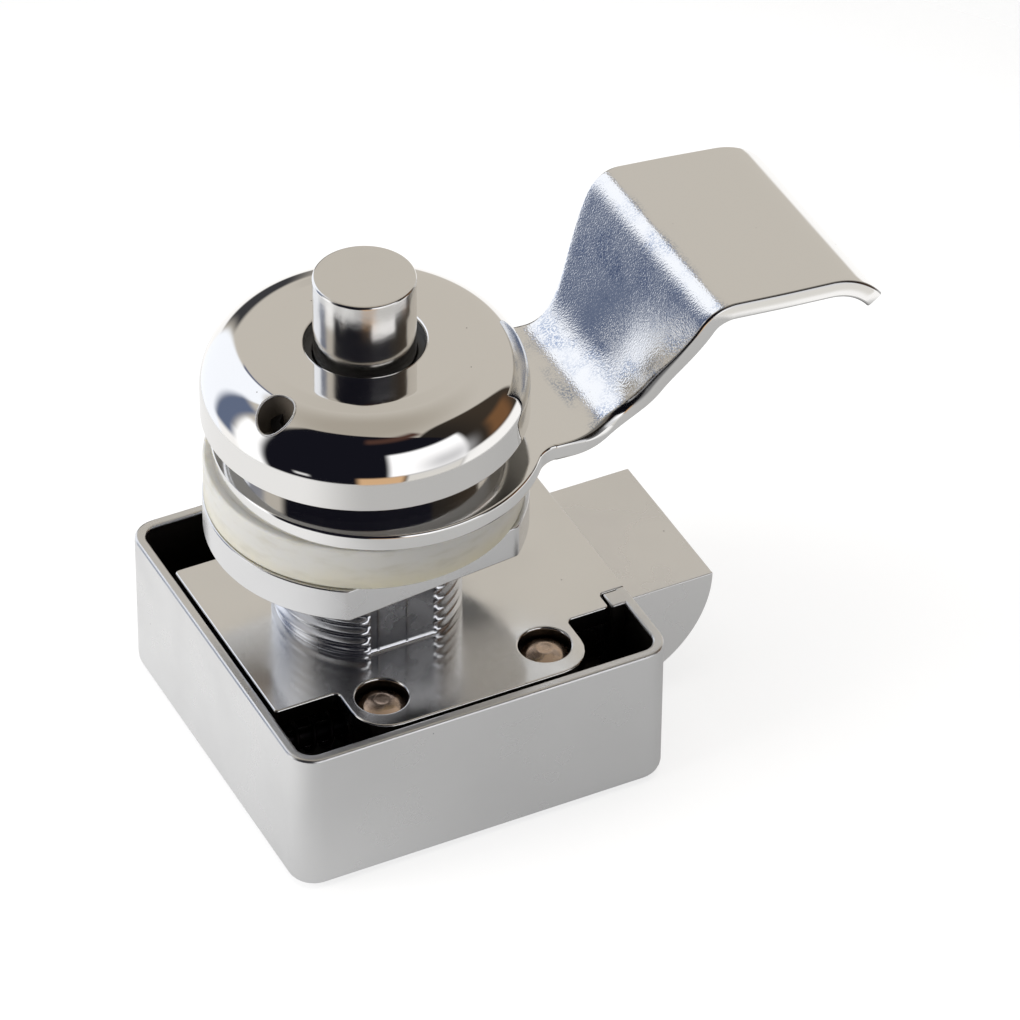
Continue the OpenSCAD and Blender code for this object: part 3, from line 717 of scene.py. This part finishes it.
def neckSpot(turn, z):  # point of the neck at a turn in degrees; the thread dies out at the two flats
    s = coverSizes
    angle = radians(turn)
    past = clamped((rootR * abs(cos(angle)) - flatEdge) / s["threadEnd"])
    lift = 0.5 - 0.5 * cos(2 * pi * ((z - rimZ) / s["pitch"] - turn / 360))
    lift *= clamped((z - rimZ) / s["threadStart"]) * clamped((coverHigh.z - z) / mm)
    r = rootR + s["depth"] * lift * sqrt(1 - (1 - past) ** 2)
    rise = max(0.0, s["foot"] - (z - rimZ))
    foot = s["foot"] - sqrt(s["foot"] ** 2 - min(rise, s["foot"]) ** 2)
    limit = neckR if z < nutLow.z and past > 0 else s["flat"] + foot
    return ((r + foot) * cos(angle), max(-limit, min(limit, (r + foot) * sin(angle))), z)


def makeNeck():
    s = coverSizes
    edge = degrees(acos(flatEdge / rootR))
    quarter = []
    for a, b, n in ((0, edge - 14, 16), (edge - 14, edge + 1, 24), (edge + 1, 90, 6)):  # fine at the flats
        quarter += [a + (b - a) * i / n for i in range(n)]
    turns = quarter + [180 - a for a in quarter[1:] + [90]]
    turns += [a + 180 for a in turns]
    turns = sorted(set(round(a % 360, 5) for a in turns))
    inView = nutLow.z + mm
    footZ = rimZ + s["foot"]
    fine = int((inView - rimZ - s["foot"]) / s["pitch"] * 18)
    hidden = int((coverHigh.z - inView) / s["pitch"] * 6)
    heights = [rimZ - mm, rimZ]
    heights += [rimZ + s["foot"] * (1 - cos(radians(a))) for a in range(15, 90, 15)]
    heights += [footZ + (inView - rimZ - s["foot"]) * i / fine for i in range(fine)]
    heights += [inView + (coverHigh.z - inView) * i / hidden for i in range(hidden + 1)]
    rings = [[neckSpot(turn, max(z, rimZ))[:2] + (z,) for turn in turns] for z in heights]
    inner = [(s["bore"], coverHigh.z), (s["bore"], rimZ + s["ledge"]), (s["guide"], rimZ + s["ledge"]),
             (s["guide"], rimZ - mm)]
    rings += [[(*polar(r, a), z) for a in turns] for r, z in inner]
    return loft("neck", rings, closed=True)


# Case: cast box with rounded edges, posts beside the bolt, rails, and bosses for the rivets
caseSizes = inMm(
    wall=1.2, floor=2.3, floorRound=[(0, 0.6), (0.2, 0.15), (0.6, 0)], corner=3.0, leastCorner=0.2, foot=1.5,
    rim=0.35, slotHalf=10.4, postX=22.3, postWidth=2.3, boss=3.0, rail=(11.9, 12.9), railHeight=6.2,
    railGap=0.3, plainDepth=0.5)


def caseRing(inset, z):
    r = max(caseSizes["corner"] - inset, caseSizes["leastCorner"])
    x0, x1 = caseLow.x + inset, caseHigh.x - inset
    y0, y1 = caseLow.y + inset, caseHigh.y - inset
    points = arc(x1 - r, y1 - r, r, 0, 90) + arc(x0 + r, y1 - r, r, 90, 180)
    points += arc(x0 + r, y0 + r, r, 180, 270) + arc(x1 - r, y0 + r, r, 270, 360)
    return [(x, y, z) for x, y in points]


def makeCase():
    s = caseSizes
    rim, wall, floor, half = s["rim"], s["wall"], s["floor"], s["slotHalf"]
    rings = [caseRing(inset, lift) for inset, lift in bend(s["foot"])]
    rings += [caseRing(inset, rimZ - lift) for inset, lift in reversed(bend(rim))]
    rings += [caseRing(wall - inset, rimZ - lift) for inset, lift in bend(rim)]
    rings += [caseRing(wall + inset, floor + lift) for inset, lift in s["floorRound"]]
    slot = block(caseHigh.x - 2 * wall, caseHigh.x + mm, -half, half, floor, rimZ + mm)
    parts = [cut(loft("shell", rings), [slot])]
    for side in (-1, 1):
        y0, y1 = sorted((side * half, side * (half + s["postWidth"])))
        post = block(s["postX"], caseHigh.x - wall / 2, y0, y1, floor / 2, rimZ)
        parts.append(softened(post, rim * 0.7))
        y0, y1 = sorted((side * s["rail"][0], side * s["rail"][1]))
        railEnd = s["postX"] - s["railGap"]
        parts.append(block(boltLow.x, railEnd, y0, y1, floor / 2, floor + s["railHeight"]))
    for x, y in rivetPlaces():
        boss = tube(s["boss"], floor / 2, coverLow.z, 48)
        boss.transform(Matrix.Translation((x, y, 0)))
        parts.append(boss)
    mesh = joined("case", parts)
    within = wall * 0.6

    def finishAt(face):
        # Walls and floor inside the case, below the rim, take the painted shade
        x, y, z = face.center
        deep = z < rimZ - s["plainDepth"] and floor * 0.6 < z
        inside = caseLow.x + within < x < caseHigh.x - within and abs(y) < caseHigh.y - within
        return 1 if deep and inside else 0

    paint(mesh, finishAt)
    flatNormals(addPiece("lockCase", mesh, ("case", "caseInsideShade"), lockBody, ["case"],
                         sharp=38))


# Bolt: cast head with a rounded underside, and the tail with its window and spring pockets
boltSizes = {
    **inMm(half=9.8, tailX=22.0, edge=0.14, windowHalf=4.8, nose=(3.5, 10.0), rampGap=0.47, windowX=13.2,
           pocket=2.1, pocketY=8.2, pocketX=6.6),
    "ramp": 1.2,
}


def makeBolt():
    s = boltSizes
    low, high, tip, back = boltLow.z, boltHigh.z, boltHigh.x, boltLow.x
    r = high - low
    outline = [(back, high), (back, low)] + arc(tip - r, high, r, 270, 360, 40)

    def across(name, outline, half):
        return loft(name, [[(x, y, z) for x, z in outline] for y in (-half, half)])

    def rampX(z):
        return s["nose"][0] - s["rampGap"] - s["ramp"] * (z - s["nose"][1])

    head = softened(across("head", outline, s["half"]), s["edge"], 40)
    under, over = low - mm, high + mm
    window = [(rampX(over), over), (rampX(under), under), (s["windowX"] + mm, under), (s["windowX"], over)]
    pockets, lying = [], Matrix.Rotation(pi / 2, 4, "Y")
    for y in (-s["pocketY"], s["pocketY"]):
        pocket = tube(s["pocket"], -mm, s["pocketX"] - back, 32)
        pocket.transform(Matrix.Translation((back, y, (low + high) / 2)) @ lying)
        pockets.append(pocket)
    parts = [cut(head, [across("window", window, s["windowHalf"]), *pockets])]
    for side in (-1, 1):
        wing = block(back, s["tailX"], *sorted((side * s["half"], side * boltHigh.y)), low, high)
        parts.append(cut(wing, pockets))
    mesh = joined("bolt", parts)
    flatNormals(addPiece("latchBolt", mesh, "bolt", boltBody, ["latch_bolt"], sharp=38))


# Finger pull: one bent sheet, lofted along its length, with worn round edges and a dented web
pullSizes = {
    **inMm(thick=2.0, eye=17.2, eyeX=1.4, eyeHole=10.35, flat=8.7, waist=10.2, fillet=3.0, footX=25.6,
           topX=33.6, rise=14.2, tipX=50.05, fall=1.7, tipRound=2.0, lip=3.5, bends=(8.8, 3.1, 7.4),
           edge=0.34,
           halfWidths=[(16.6, 10.2), (18.6, 10.5), (20.5, 10.4), (22.5, 9.7), (24.8, 8.9), (28.5, 10.6),
                       (31.2, 12.5), (33.4, 13.3), (41, 13.3), (53.2, 13.0)]),  # at each x
    "lipAngle": 48,
    "rolled": inMm(x=(18, 31.5), soft=4, more=0.55),
    "dents": [inMm(x=28.6, y=-9.4, deep=-0.26, along=4.2, across=4.8),
              inMm(x=28.6, y=-2.4, deep=0.26, along=4.2, across=4.8)],
}


def pullHalfWidth(x):
    s = pullSizes
    spots = s["halfWidths"]
    round0 = spots[-1][0] - s["tipRound"]

    def straight(at):
        for (a, low), (b, high) in zip(spots, spots[1:]):
            if at <= b:
                return low + (high - low) * max(0.0, at - a) / (b - a)
        return spots[-1][1]

    width = sum(straight(x + shift * 0.4 * mm) for shift in range(-4, 5)) / 9
    if x > round0:
        width += sqrt(max(s["tipRound"] ** 2 - (x - round0) ** 2, 0)) - s["tipRound"]
    return width


def pullStations():  # (x, z, heading, half width) down the middle of the sheet
    s = pullSizes
    mid = pullLow.z + s["thick"] / 2
    filletY = s["waist"] + s["fillet"]
    filletX = sqrt((s["eye"] + s["fillet"]) ** 2 - filletY ** 2)
    join = degrees(atan2(filletY, filletX))
    outline = arc(s["eyeX"], 0, s["eye"], 178.5, join, 96)
    outline += arc(s["eyeX"] + filletX, filletY, s["fillet"], 180 + join, 270, 14)[1:]
    stations = [(x, mid, 0.0, y) for x, y in outline]

    def straight(toX, toZ, heading, steps, last):
        fromX, fromZ = stations[-1][:2]
        for i in range(1, last + 1):
            x, z = fromX + (toX - fromX) * i / steps, fromZ + (toZ - fromZ) * i / steps
            stations.append((x, z, heading, pullHalfWidth(x)))

    webAngle = atan2(s["rise"], s["topX"] - s["footX"])
    gripAngle = -atan2(s["fall"], s["tipX"] - s["topX"])
    lipAngle = gripAngle - radians(s["lipAngle"])
    topZ, tipZ = mid + s["rise"], mid + s["rise"] - s["fall"]
    corners = [(s["footX"], mid, 0.0, webAngle), (s["topX"], topZ, webAngle, gripAngle),
               (s["tipX"], tipZ, gripAngle, lipAngle)]
    for (cx, cz, a0, a1), r in zip(corners, s["bends"]):
        way = copysign(1, a1 - a0)
        reach = r * tan(abs(a1 - a0) / 2)
        startX, startZ = cx - reach * cos(a0), cz - reach * sin(a0)
        straight(startX, startZ, a0, 30, 29)
        centreX, centreZ = startX - way * r * sin(a0), startZ + way * r * cos(a0)
        for i in range(25):
            a = a0 + (a1 - a0) * i / 24
            x, z = centreX + way * r * sin(a), centreZ - way * r * cos(a)
            stations.append((x, z, a, pullHalfWidth(x)))
    endX, endZ = s["tipX"] + s["lip"] * cos(lipAngle), tipZ + s["lip"] * sin(lipAngle)
    straight(endX, endZ, lipAngle, 8, 8)
    return stations


def pullRing(station, shrink=0.0, ahead=0.0, across=28):
    s = pullSizes
    x, z, heading, width = station
    x, z = x + ahead * cos(heading), z + ahead * sin(heading)
    h, w = s["thick"] / 2 - shrink, width - shrink
    e = min(s["edge"], 0.6 * w, 0.95 * h)
    rolled = s["rolled"]
    start, end = ((x - at) / rolled["soft"] for at in rolled["x"])
    worn = clamped(start) * clamped(-end)
    t = e  # radius of the upper edges, which are rolled at the bend
    if shrink == 0:
        t += rolled["more"] * worn * worn * (3 - 2 * worn)
    section = [(w - t - 2 * (w - t) * i / across, h) for i in range(across)]
    section += arc(-(w - t), h - t, t, 90, 180, 9)
    section += arc(-(w - e), -(h - e), e, 180, 270, 5)
    section += [(-(w - e) + 2 * (w - e) * i / across, -h) for i in range(1, across)]
    section += arc(w - e, -(h - e), e, 270, 360, 5)
    section += arc(w - t, h - t, t, 0, 90, 9)[:-1]
    lean = cos(atan2(s["rise"], s["topX"] - s["footX"]))
    ring = []
    for y, n in section:
        for d in s["dents"]:
            along, aside = (x - d["x"]) / lean / d["along"], (y - d["y"]) / d["across"]
            n -= d["deep"] * exp(-along ** 2 - aside ** 2)
        ring.append((x - n * sin(heading), y, z + n * cos(heading)))
    return ring


def makePull():
    s = pullSizes
    stations = pullStations()
    rings = [pullRing(station) for station in stations[:-1]]
    for a in (20, 40, 60, 80):
        inset, ahead = (s["edge"] * (1 - share) for share in polar(1, a))
        rings.append(pullRing(stations[-1], inset, -ahead))
    top = pullLow.z + s["thick"]
    hole = [(x, max(-s["flat"], min(s["flat"], y))) for x, y in arc(0, 0, s["eyeHole"], 0, 357, 119)]
    mesh = cut(loft("pull", rings), [drawn("eyeHole", hole, (pullLow.z - mm, top + mm))])
    addPiece("fingerPull", mesh, "pull", lockBody, ["finger_pull"], sharp=50)


# Geometry Nodes: rivets set in the plate's recesses, and springs wound round their pins

def nodeTree(name, inputs):  # a tree, its graph, and its inputs' keys and wires
    tree = bpy.data.node_groups.new(name, "GeometryNodeTree")
    tree.interface.new_socket(name="Geometry", in_out="INPUT", socket_type="NodeSocketGeometry")
    keys = {}
    for label, kind in inputs:
        keys[label] = tree.interface.new_socket(name=label, in_out="INPUT", socket_type=kind).identifier
    tree.interface.new_socket(name="Geometry", in_out="OUTPUT", socket_type="NodeSocketGeometry")
    g = Graph(tree)
    start = g.node("NodeGroupInput").socket.node
    return tree, g, keys, {label: Wire(g, start.outputs[label]) for label in ("Geometry", *keys)}


def coated(g, geometry, finish):  # ends the tree with real meshes in their finish
    real = g.node("GeometryNodeRealizeInstances", {"Geometry": geometry})
    done = g.node("GeometryNodeSetMaterial", {"Geometry": real, "Material": finish})
    g.node("NodeGroupOutput", {0: done})


def grown(name, points, tree, keys, values):  # a plain mesh from the tree's result
    seed = bpy.data.meshes.new(name)
    seed.from_pydata(points, [], [])
    work = linked(name + "Seed", seed)
    modifier = work.modifiers.new("grow", "NODES")
    modifier.node_group = tree
    for label, value in values.items():
        modifier[keys[label]] = value
    mesh = baked(work)
    bpy.data.objects.remove(work)
    return mesh


rivetSizes = {
    **inMm(head=2.45, rise=0.85, skirt=0.4, shank=1.5, foot=6.3),
    "crown": 0.32,
    "dish": [(0.82, 0.06 * mm), (0, 0.02 * mm)],  # share of the crown's radius, and depth
}


def makeRivets():
    s = rivetSizes
    seat = rimZ - coverSizes["recessDepth"]
    r, rise, shank, foot = s["head"], s["rise"], s["shank"], s["foot"]
    skirt = seat + s["skirt"]
    dome = (r * r + rise * rise) / (2 * rise)
    span = degrees(asin(r / dome))
    outline = [(1e-6, foot), (shank, foot), (shank, seat), (r, seat), (r, skirt)]
    outline += arc(0, skirt + rise - dome, dome, 90 - span, 90 - span * s["crown"], 14)[1:]
    crownR, crownZ = outline[-1]
    outline += [(max(crownR * share, 1e-6), crownZ - deep) for share, deep in s["dish"]]
    form = linked("rivetForm", lathe("rivetForm", outline, 48))
    form.data.shade_smooth()
    form.data.set_sharp_from_angle(angle=radians(40))
    tree, g, keys, given = nodeTree("setRivets", [
        ("Rivet", "NodeSocketObject"), ("Finish", "NodeSocketMaterial")])
    source = g.node("GeometryNodeObjectInfo", {"Object": given["Rivet"]}, out="Geometry")
    spots = g.node("GeometryNodeMeshToPoints", {"Mesh": given["Geometry"]})
    copies = g.node("GeometryNodeInstanceOnPoints", {"Points": spots, "Instance": source})
    coated(g, copies, given["Finish"])
    mesh = grown("coverRivets", [(x, y, 0) for x, y in rivetPlaces()], tree, keys,
                 {"Rivet": form, "Finish": finishes["rivet"]})
    bpy.data.objects.remove(form)
    addPiece("coverRivets", mesh, "rivet", lockBody, ["cover_rivets"], sharp=40)


def springTree():
    measures = [(label, "NodeSocketFloat") for label in ("Coil Radius", "Wire Radius", "Length", "Turns")]
    tree, g, keys, given = nodeTree("windSpring", measures + [
        ("Place", "NodeSocketVector"), ("Turn", "NodeSocketVector"), ("Finish", "NodeSocketMaterial")])
    spiral = g.node("GeometryNodeCurveSpiral", {
        "Resolution": 40, "Rotations": given["Turns"], "Start Radius": given["Coil Radius"],
        "End Radius": given["Coil Radius"], "Height": given["Length"]})
    placed = g.node("GeometryNodeTransform", {
        "Geometry": spiral, "Translation": given["Place"], "Rotation": given["Turn"]})
    ring = g.node("GeometryNodeCurvePrimitiveCircle", {"Resolution": 14, "Radius": given["Wire Radius"]})
    wire = g.node("GeometryNodeCurveToMesh", {"Curve": placed, "Profile Curve": ring, "Fill Caps": True})
    coated(g, wire, given["Finish"])
    return tree, keys


boltSpring = {"coil": 1.55, "wire": 0.25, "turns": 11, "axis": "X", "joint": "bolt_slide", "travel": 8.4}
springs = {
    "button_spring": {"coil": 6.6, "wire": 0.5, "turns": 9, "axis": "Z", "joint": "button_press",
                      "travel": 7.0},
    "bolt_spring_front": boltSpring,
    "bolt_spring_rear": boltSpring,
}


def makeSprings():
    tree, keys = springTree()
    for node, s in springs.items():
        low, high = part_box(node)
        mid = (low + high) / 2
        along = "XYZ".index(s["axis"])
        length = high[along] - low[along]
        wire = s["wire"] * mm
        place = Vector(mid)
        place[along] = low[along] + wire
        turn = (0, pi / 2, 0) if s["axis"] == "X" else (0, 0, 0)
        mesh = grown(node, [(0, 0, 0)], tree, keys, {
            "Coil Radius": s["coil"] * mm, "Wire Radius": wire, "Length": length - 2 * wire,
            "Turns": float(s["turns"]), "Place": tuple(place), "Turn": turn, "Finish": finishes["spring"]})
        words = node.split("_")
        name = words[0] + "".join(word.capitalize() for word in words[1:])
        piece = addPiece(name, mesh, "spring", lockBody, [node], sharp=0)
        anchor = Vector(mid)
        anchor[along] = low[along]
        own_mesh(piece)


# Pieces that stay as they are in the frame, with their own finish
carried = {
    "set_screw": "darkSteel",
    "button_pin": "innerSteel",
    "button_clip": "darkSteel",
    "upper_spring_washer": "innerSteel",
    "lower_spring_washer": "innerSteel",
    "plunger": "innerSteel",
    "guide_pin_front": "innerSteel",
    "guide_pin_rear": "innerSteel",
}

makeRosette()
makeButton()
makeBush()
print("cap, button and bush turned")
makeWasher()
makeNut()
print("washer and nut made")
makeCover()
makeCase()
makeBolt()
print("castings made")
makePull()
print("pull bent")
makeRivets()
makeSprings()
print("rivets set and springs wound")
for node, finish in carried.items():
    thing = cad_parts[node]
    thing.data.materials.clear()
    thing.data.materials.append(finishes[finish])
print("inner pieces finished:", len(carried))


# Camera at the photograph's angle, in the object's frame
shot = {"azimuth": 25.26, "elevation": 39.38, "roll": -0.45, "distance": 700 * mm, "lens": 238.1,
        "target": (0, 0, 25 * mm), "aside": 0.0213, "above": 0.00454}


def makeCamera():
    az, el, roll = (radians(shot[key]) for key in ("azimuth", "elevation", "roll"))
    back = Vector((-sin(az) * cos(el), -cos(az) * cos(el), sin(el)))
    level = Vector((cos(az), -sin(az), 0))
    steep = back.cross(level)
    right = level * cos(roll) + steep * sin(roll)
    up = back.cross(right)
    ahead = (-back + right * shot["aside"] + up * shot["above"]).normalized()
    side = ahead.cross(up).normalized()
    top = side.cross(ahead)
    data = bpy.data.cameras.new("camera")
    data.lens = shot["lens"]
    data.sensor_width = 36
    data.clip_start = 0.01
    camera = linked("camera", data)
    turn = Matrix((side, top, -ahead)).transposed().to_4x4()
    camera.matrix_world = Matrix.Translation(Vector(shot["target"]) + back * shot["distance"]) @ turn
    bpy.context.scene.camera = camera


# Studio: a pale floor and backdrop, a beige scrim overhead, the dark room on the camera's side, and panels
# Panels lie at an azimuth from the camera's side, positive to the left, and at an elevation, in degrees
studio = {
    "scrim": (0.63, 0.59, 0.53),
    "zenith": (0.45, 0.41, 0.35),
    "zenithRise": (42, 80),
    "backdrop": (1.12, 1.11, 1.1),
    "backdropTop": (-7, -1),
    "dark": {"tone": (0.008, 0.008, 0.013), "turn": 20, "lean": 0.28, "edge": (-0.012, 0.025),
             "azimuth": (-66, 73, 5), "foot": (-36, -31)},
    "cupboard": {"azimuth": -70, "reach": 50, "height": 58, "edge": (0.92, 1.06), "foot": (-16, -10),
                 "depth": (-100, -60), "tones": [(0.05, 0.038, 0.028), (0.025, 0.021, 0.018)]},
    "panels": [  # azimuth, elevation, softness, tone
        ((112, 153), (-40, 53), 2.5, (1.12, 1.16, 1.24)),
        ((156, 175), (-5, 21), 4, (0.05, 0.05, 0.055)),
        ((70, 92), (-36, 26), 5, (1.3, 1.31, 1.33)),
        ((94, 115), (-18, 40), 5, (0.14, 0.175, 0.27)),
        ((152.5, 156), (40, 54), 1.2, (0.16, 0.18, 0.26)),
        ((-66, -27), (-40, -19), 2, (0.82, 0.8, 0.76)),
        ((-68, -15), (-18, 30), 3, (1.3, 1.3, 1.32)),
        ((-70, -38), (-18, 8), 13, (0.74, 0.74, 0.76)),
        ((-25, 5), (-40, -18), 3, (0.75, 0.48, 0.27)),
        ((-110, -88), (-12, 16), 6, (0.2, 0.1, 0.045)),
        ((-55, 0), (56, 65), 4, (0.085, 0.042, 0.032)),
        ((37, 47), (-26, -22), 2.5, (0.95, 0.95, 0.95)),
    ],
    "floor": {"tones": [(0.86, 0.86, 0.86), (0.8514, 0.8514, 0.8471)], "radius": 0.2, "top": -0.05 * mm,
              "lift": 0.62, "glow": 1.2, "fade": (0.11, 0.19), "mirrorLift": 0.8,
              "paintedMirrorTones": (0.47, 0.95), "mirrorTurn": (-0.04, 0.04), "mirrorFade": (0.075, 0.095)},
    "lamps": [
        {"name": "overhead", "power": 6.0, "size": 0.9, "azimuth": 0, "elevation": 90, "away": 1.1},
        {"name": "frontFill", "power": 6.5, "size": 0.6, "azimuth": 72, "elevation": 22, "away": 0.9},
    ],
}


def makeStudio():
    s = studio
    world = bpy.data.worlds.new("studio")
    world.use_nodes = True
    bpy.context.scene.world = world
    g = Graph(world.node_tree)
    ray = g.node("ShaderNodeTexCoord")
    az = radians(shot["azimuth"])

    def towards(direction):
        return g.node("ShaderNodeVectorMath", {0: ray, 1: direction}, out=1, operation="DOT_PRODUCT")

    front = towards((-sin(az), -cos(az), 0))
    left = towards((-cos(az), sin(az), 0))
    height = towards((0, 0, 1))
    azimuth = g.maths("ARCTAN2", left, front) * degrees(1)
    elevation = g.maths("ARCSINE", height) * degrees(1)
    colour = g.blend(g.step(elevation, *s["zenithRise"]), rgba(s["scrim"]), rgba(s["zenith"]))
    colour = g.blend(g.step(elevation, *s["backdropTop"]), rgba(s["backdrop"]), colour)
    c = s["cupboard"]
    reach = ((azimuth - c["azimuth"]) * (1 / c["reach"])) ** 2 + (elevation * (1 / c["height"])) ** 2
    mask = (1 - g.step(reach, *c["edge"])) * g.step(elevation, *c["foot"])
    colour = g.blend(mask, colour, g.blend(g.step(azimuth, *c["depth"]), *map(rgba, c["tones"])))
    d = s["dark"]
    facing = front * polar(1, d["turn"])[0] + left * polar(1, d["turn"])[1] - height * d["lean"]
    mask = g.step(facing, *d["edge"]) * g.within(azimuth, *d["azimuth"]) * g.step(elevation, *d["foot"])
    colour = g.blend(mask, colour, rgba(d["tone"]))
    for turns, heights, soft, tone in s["panels"]:
        mask = g.within(azimuth, *turns, soft) * g.within(elevation, *heights, soft)
        colour = g.blend(mask, colour, rgba(tone))
    seen = g.node("ShaderNodeLightPath")
    colour = g.blend(seen, colour, rgba((1, 1, 1)))
    sky = g.node("ShaderNodeBackground", {"Color": colour, "Strength": 1.0})
    g.node("ShaderNodeOutputWorld", {0: sky})

    for spec in s["lamps"]:
        light = bpy.data.lights.new(spec["name"], "AREA")
        light.energy = spec["power"]
        light.size = spec["size"]
        lamp = linked(spec["name"], light)
        turn, lift = az + radians(spec["azimuth"]), radians(spec["elevation"])
        way = Vector((-sin(turn) * cos(lift), -cos(turn) * cos(lift), sin(lift)))
        aim = way.to_track_quat("Z", "Y").to_matrix().to_4x4()
        lamp.matrix_world = Matrix.Translation(way * spec["away"]) @ aim
        lamp.visible_glossy = False
        lamp.visible_camera = False


def makeFloor():  # pale board that keeps the shadow and fades into the backdrop towards its rim; seen in metal it glows with painted reflection, brighter on the left
    s = studio["floor"]
    floor = tube(s["radius"], -2 * mm, s["top"], 128)
    material, g, place = newMaterial("paleFloor")
    colour = g.blend(g.noise(place, 30, 2), *map(rgba, s["tones"]))
    board = g.node("ShaderNodeBsdfDiffuse", {"Color": colour})
    seen, mirrored = (g.node("ShaderNodeLightPath", out=f"Is {ray} Ray") for ray in ("Camera", "Glossy"))

    def glowing(tone, strength):
        return g.node("ShaderNodeEmission", {"Color": tone, "Strength": strength})

    def mixed(share, a, b):
        return g.node("ShaderNodeMixShader", {0: share, 1: a, 2: b})

    board = mixed(seen * s["lift"], board, glowing(rgba((1, 1, 1)), s["glow"]))
    # Painted reflection: the glow that metal sees in the floor is brighter on the left than in front
    leftwards = g.step(g.part(place, "Y") - g.part(place, "X"), *s["mirrorTurn"])  # brighter on the left
    front, side = (rgba((level, level, level)) for level in s["paintedMirrorTones"])
    board = mixed(mirrored * s["mirrorLift"], board, glowing(g.blend(leftwards, front, side), 1.0))
    away = g.node("ShaderNodeVectorMath", {0: place}, out=1, operation="LENGTH")
    fade = seen * g.step(away, *s["fade"]) + mirrored * g.step(away, *s["mirrorFade"])
    shader = mixed(fade, board, g.node("ShaderNodeBsdfTransparent"))
    g.node("ShaderNodeOutputMaterial", {0: shader})
    floor.materials.append(material)
    ground = linked("floor", floor)


makeCamera()
makeStudio()
makeFloor()
bpy.context.scene.view_settings.view_transform = "Standard"
print("camera and studio set")

bpy.context.view_layer.update()
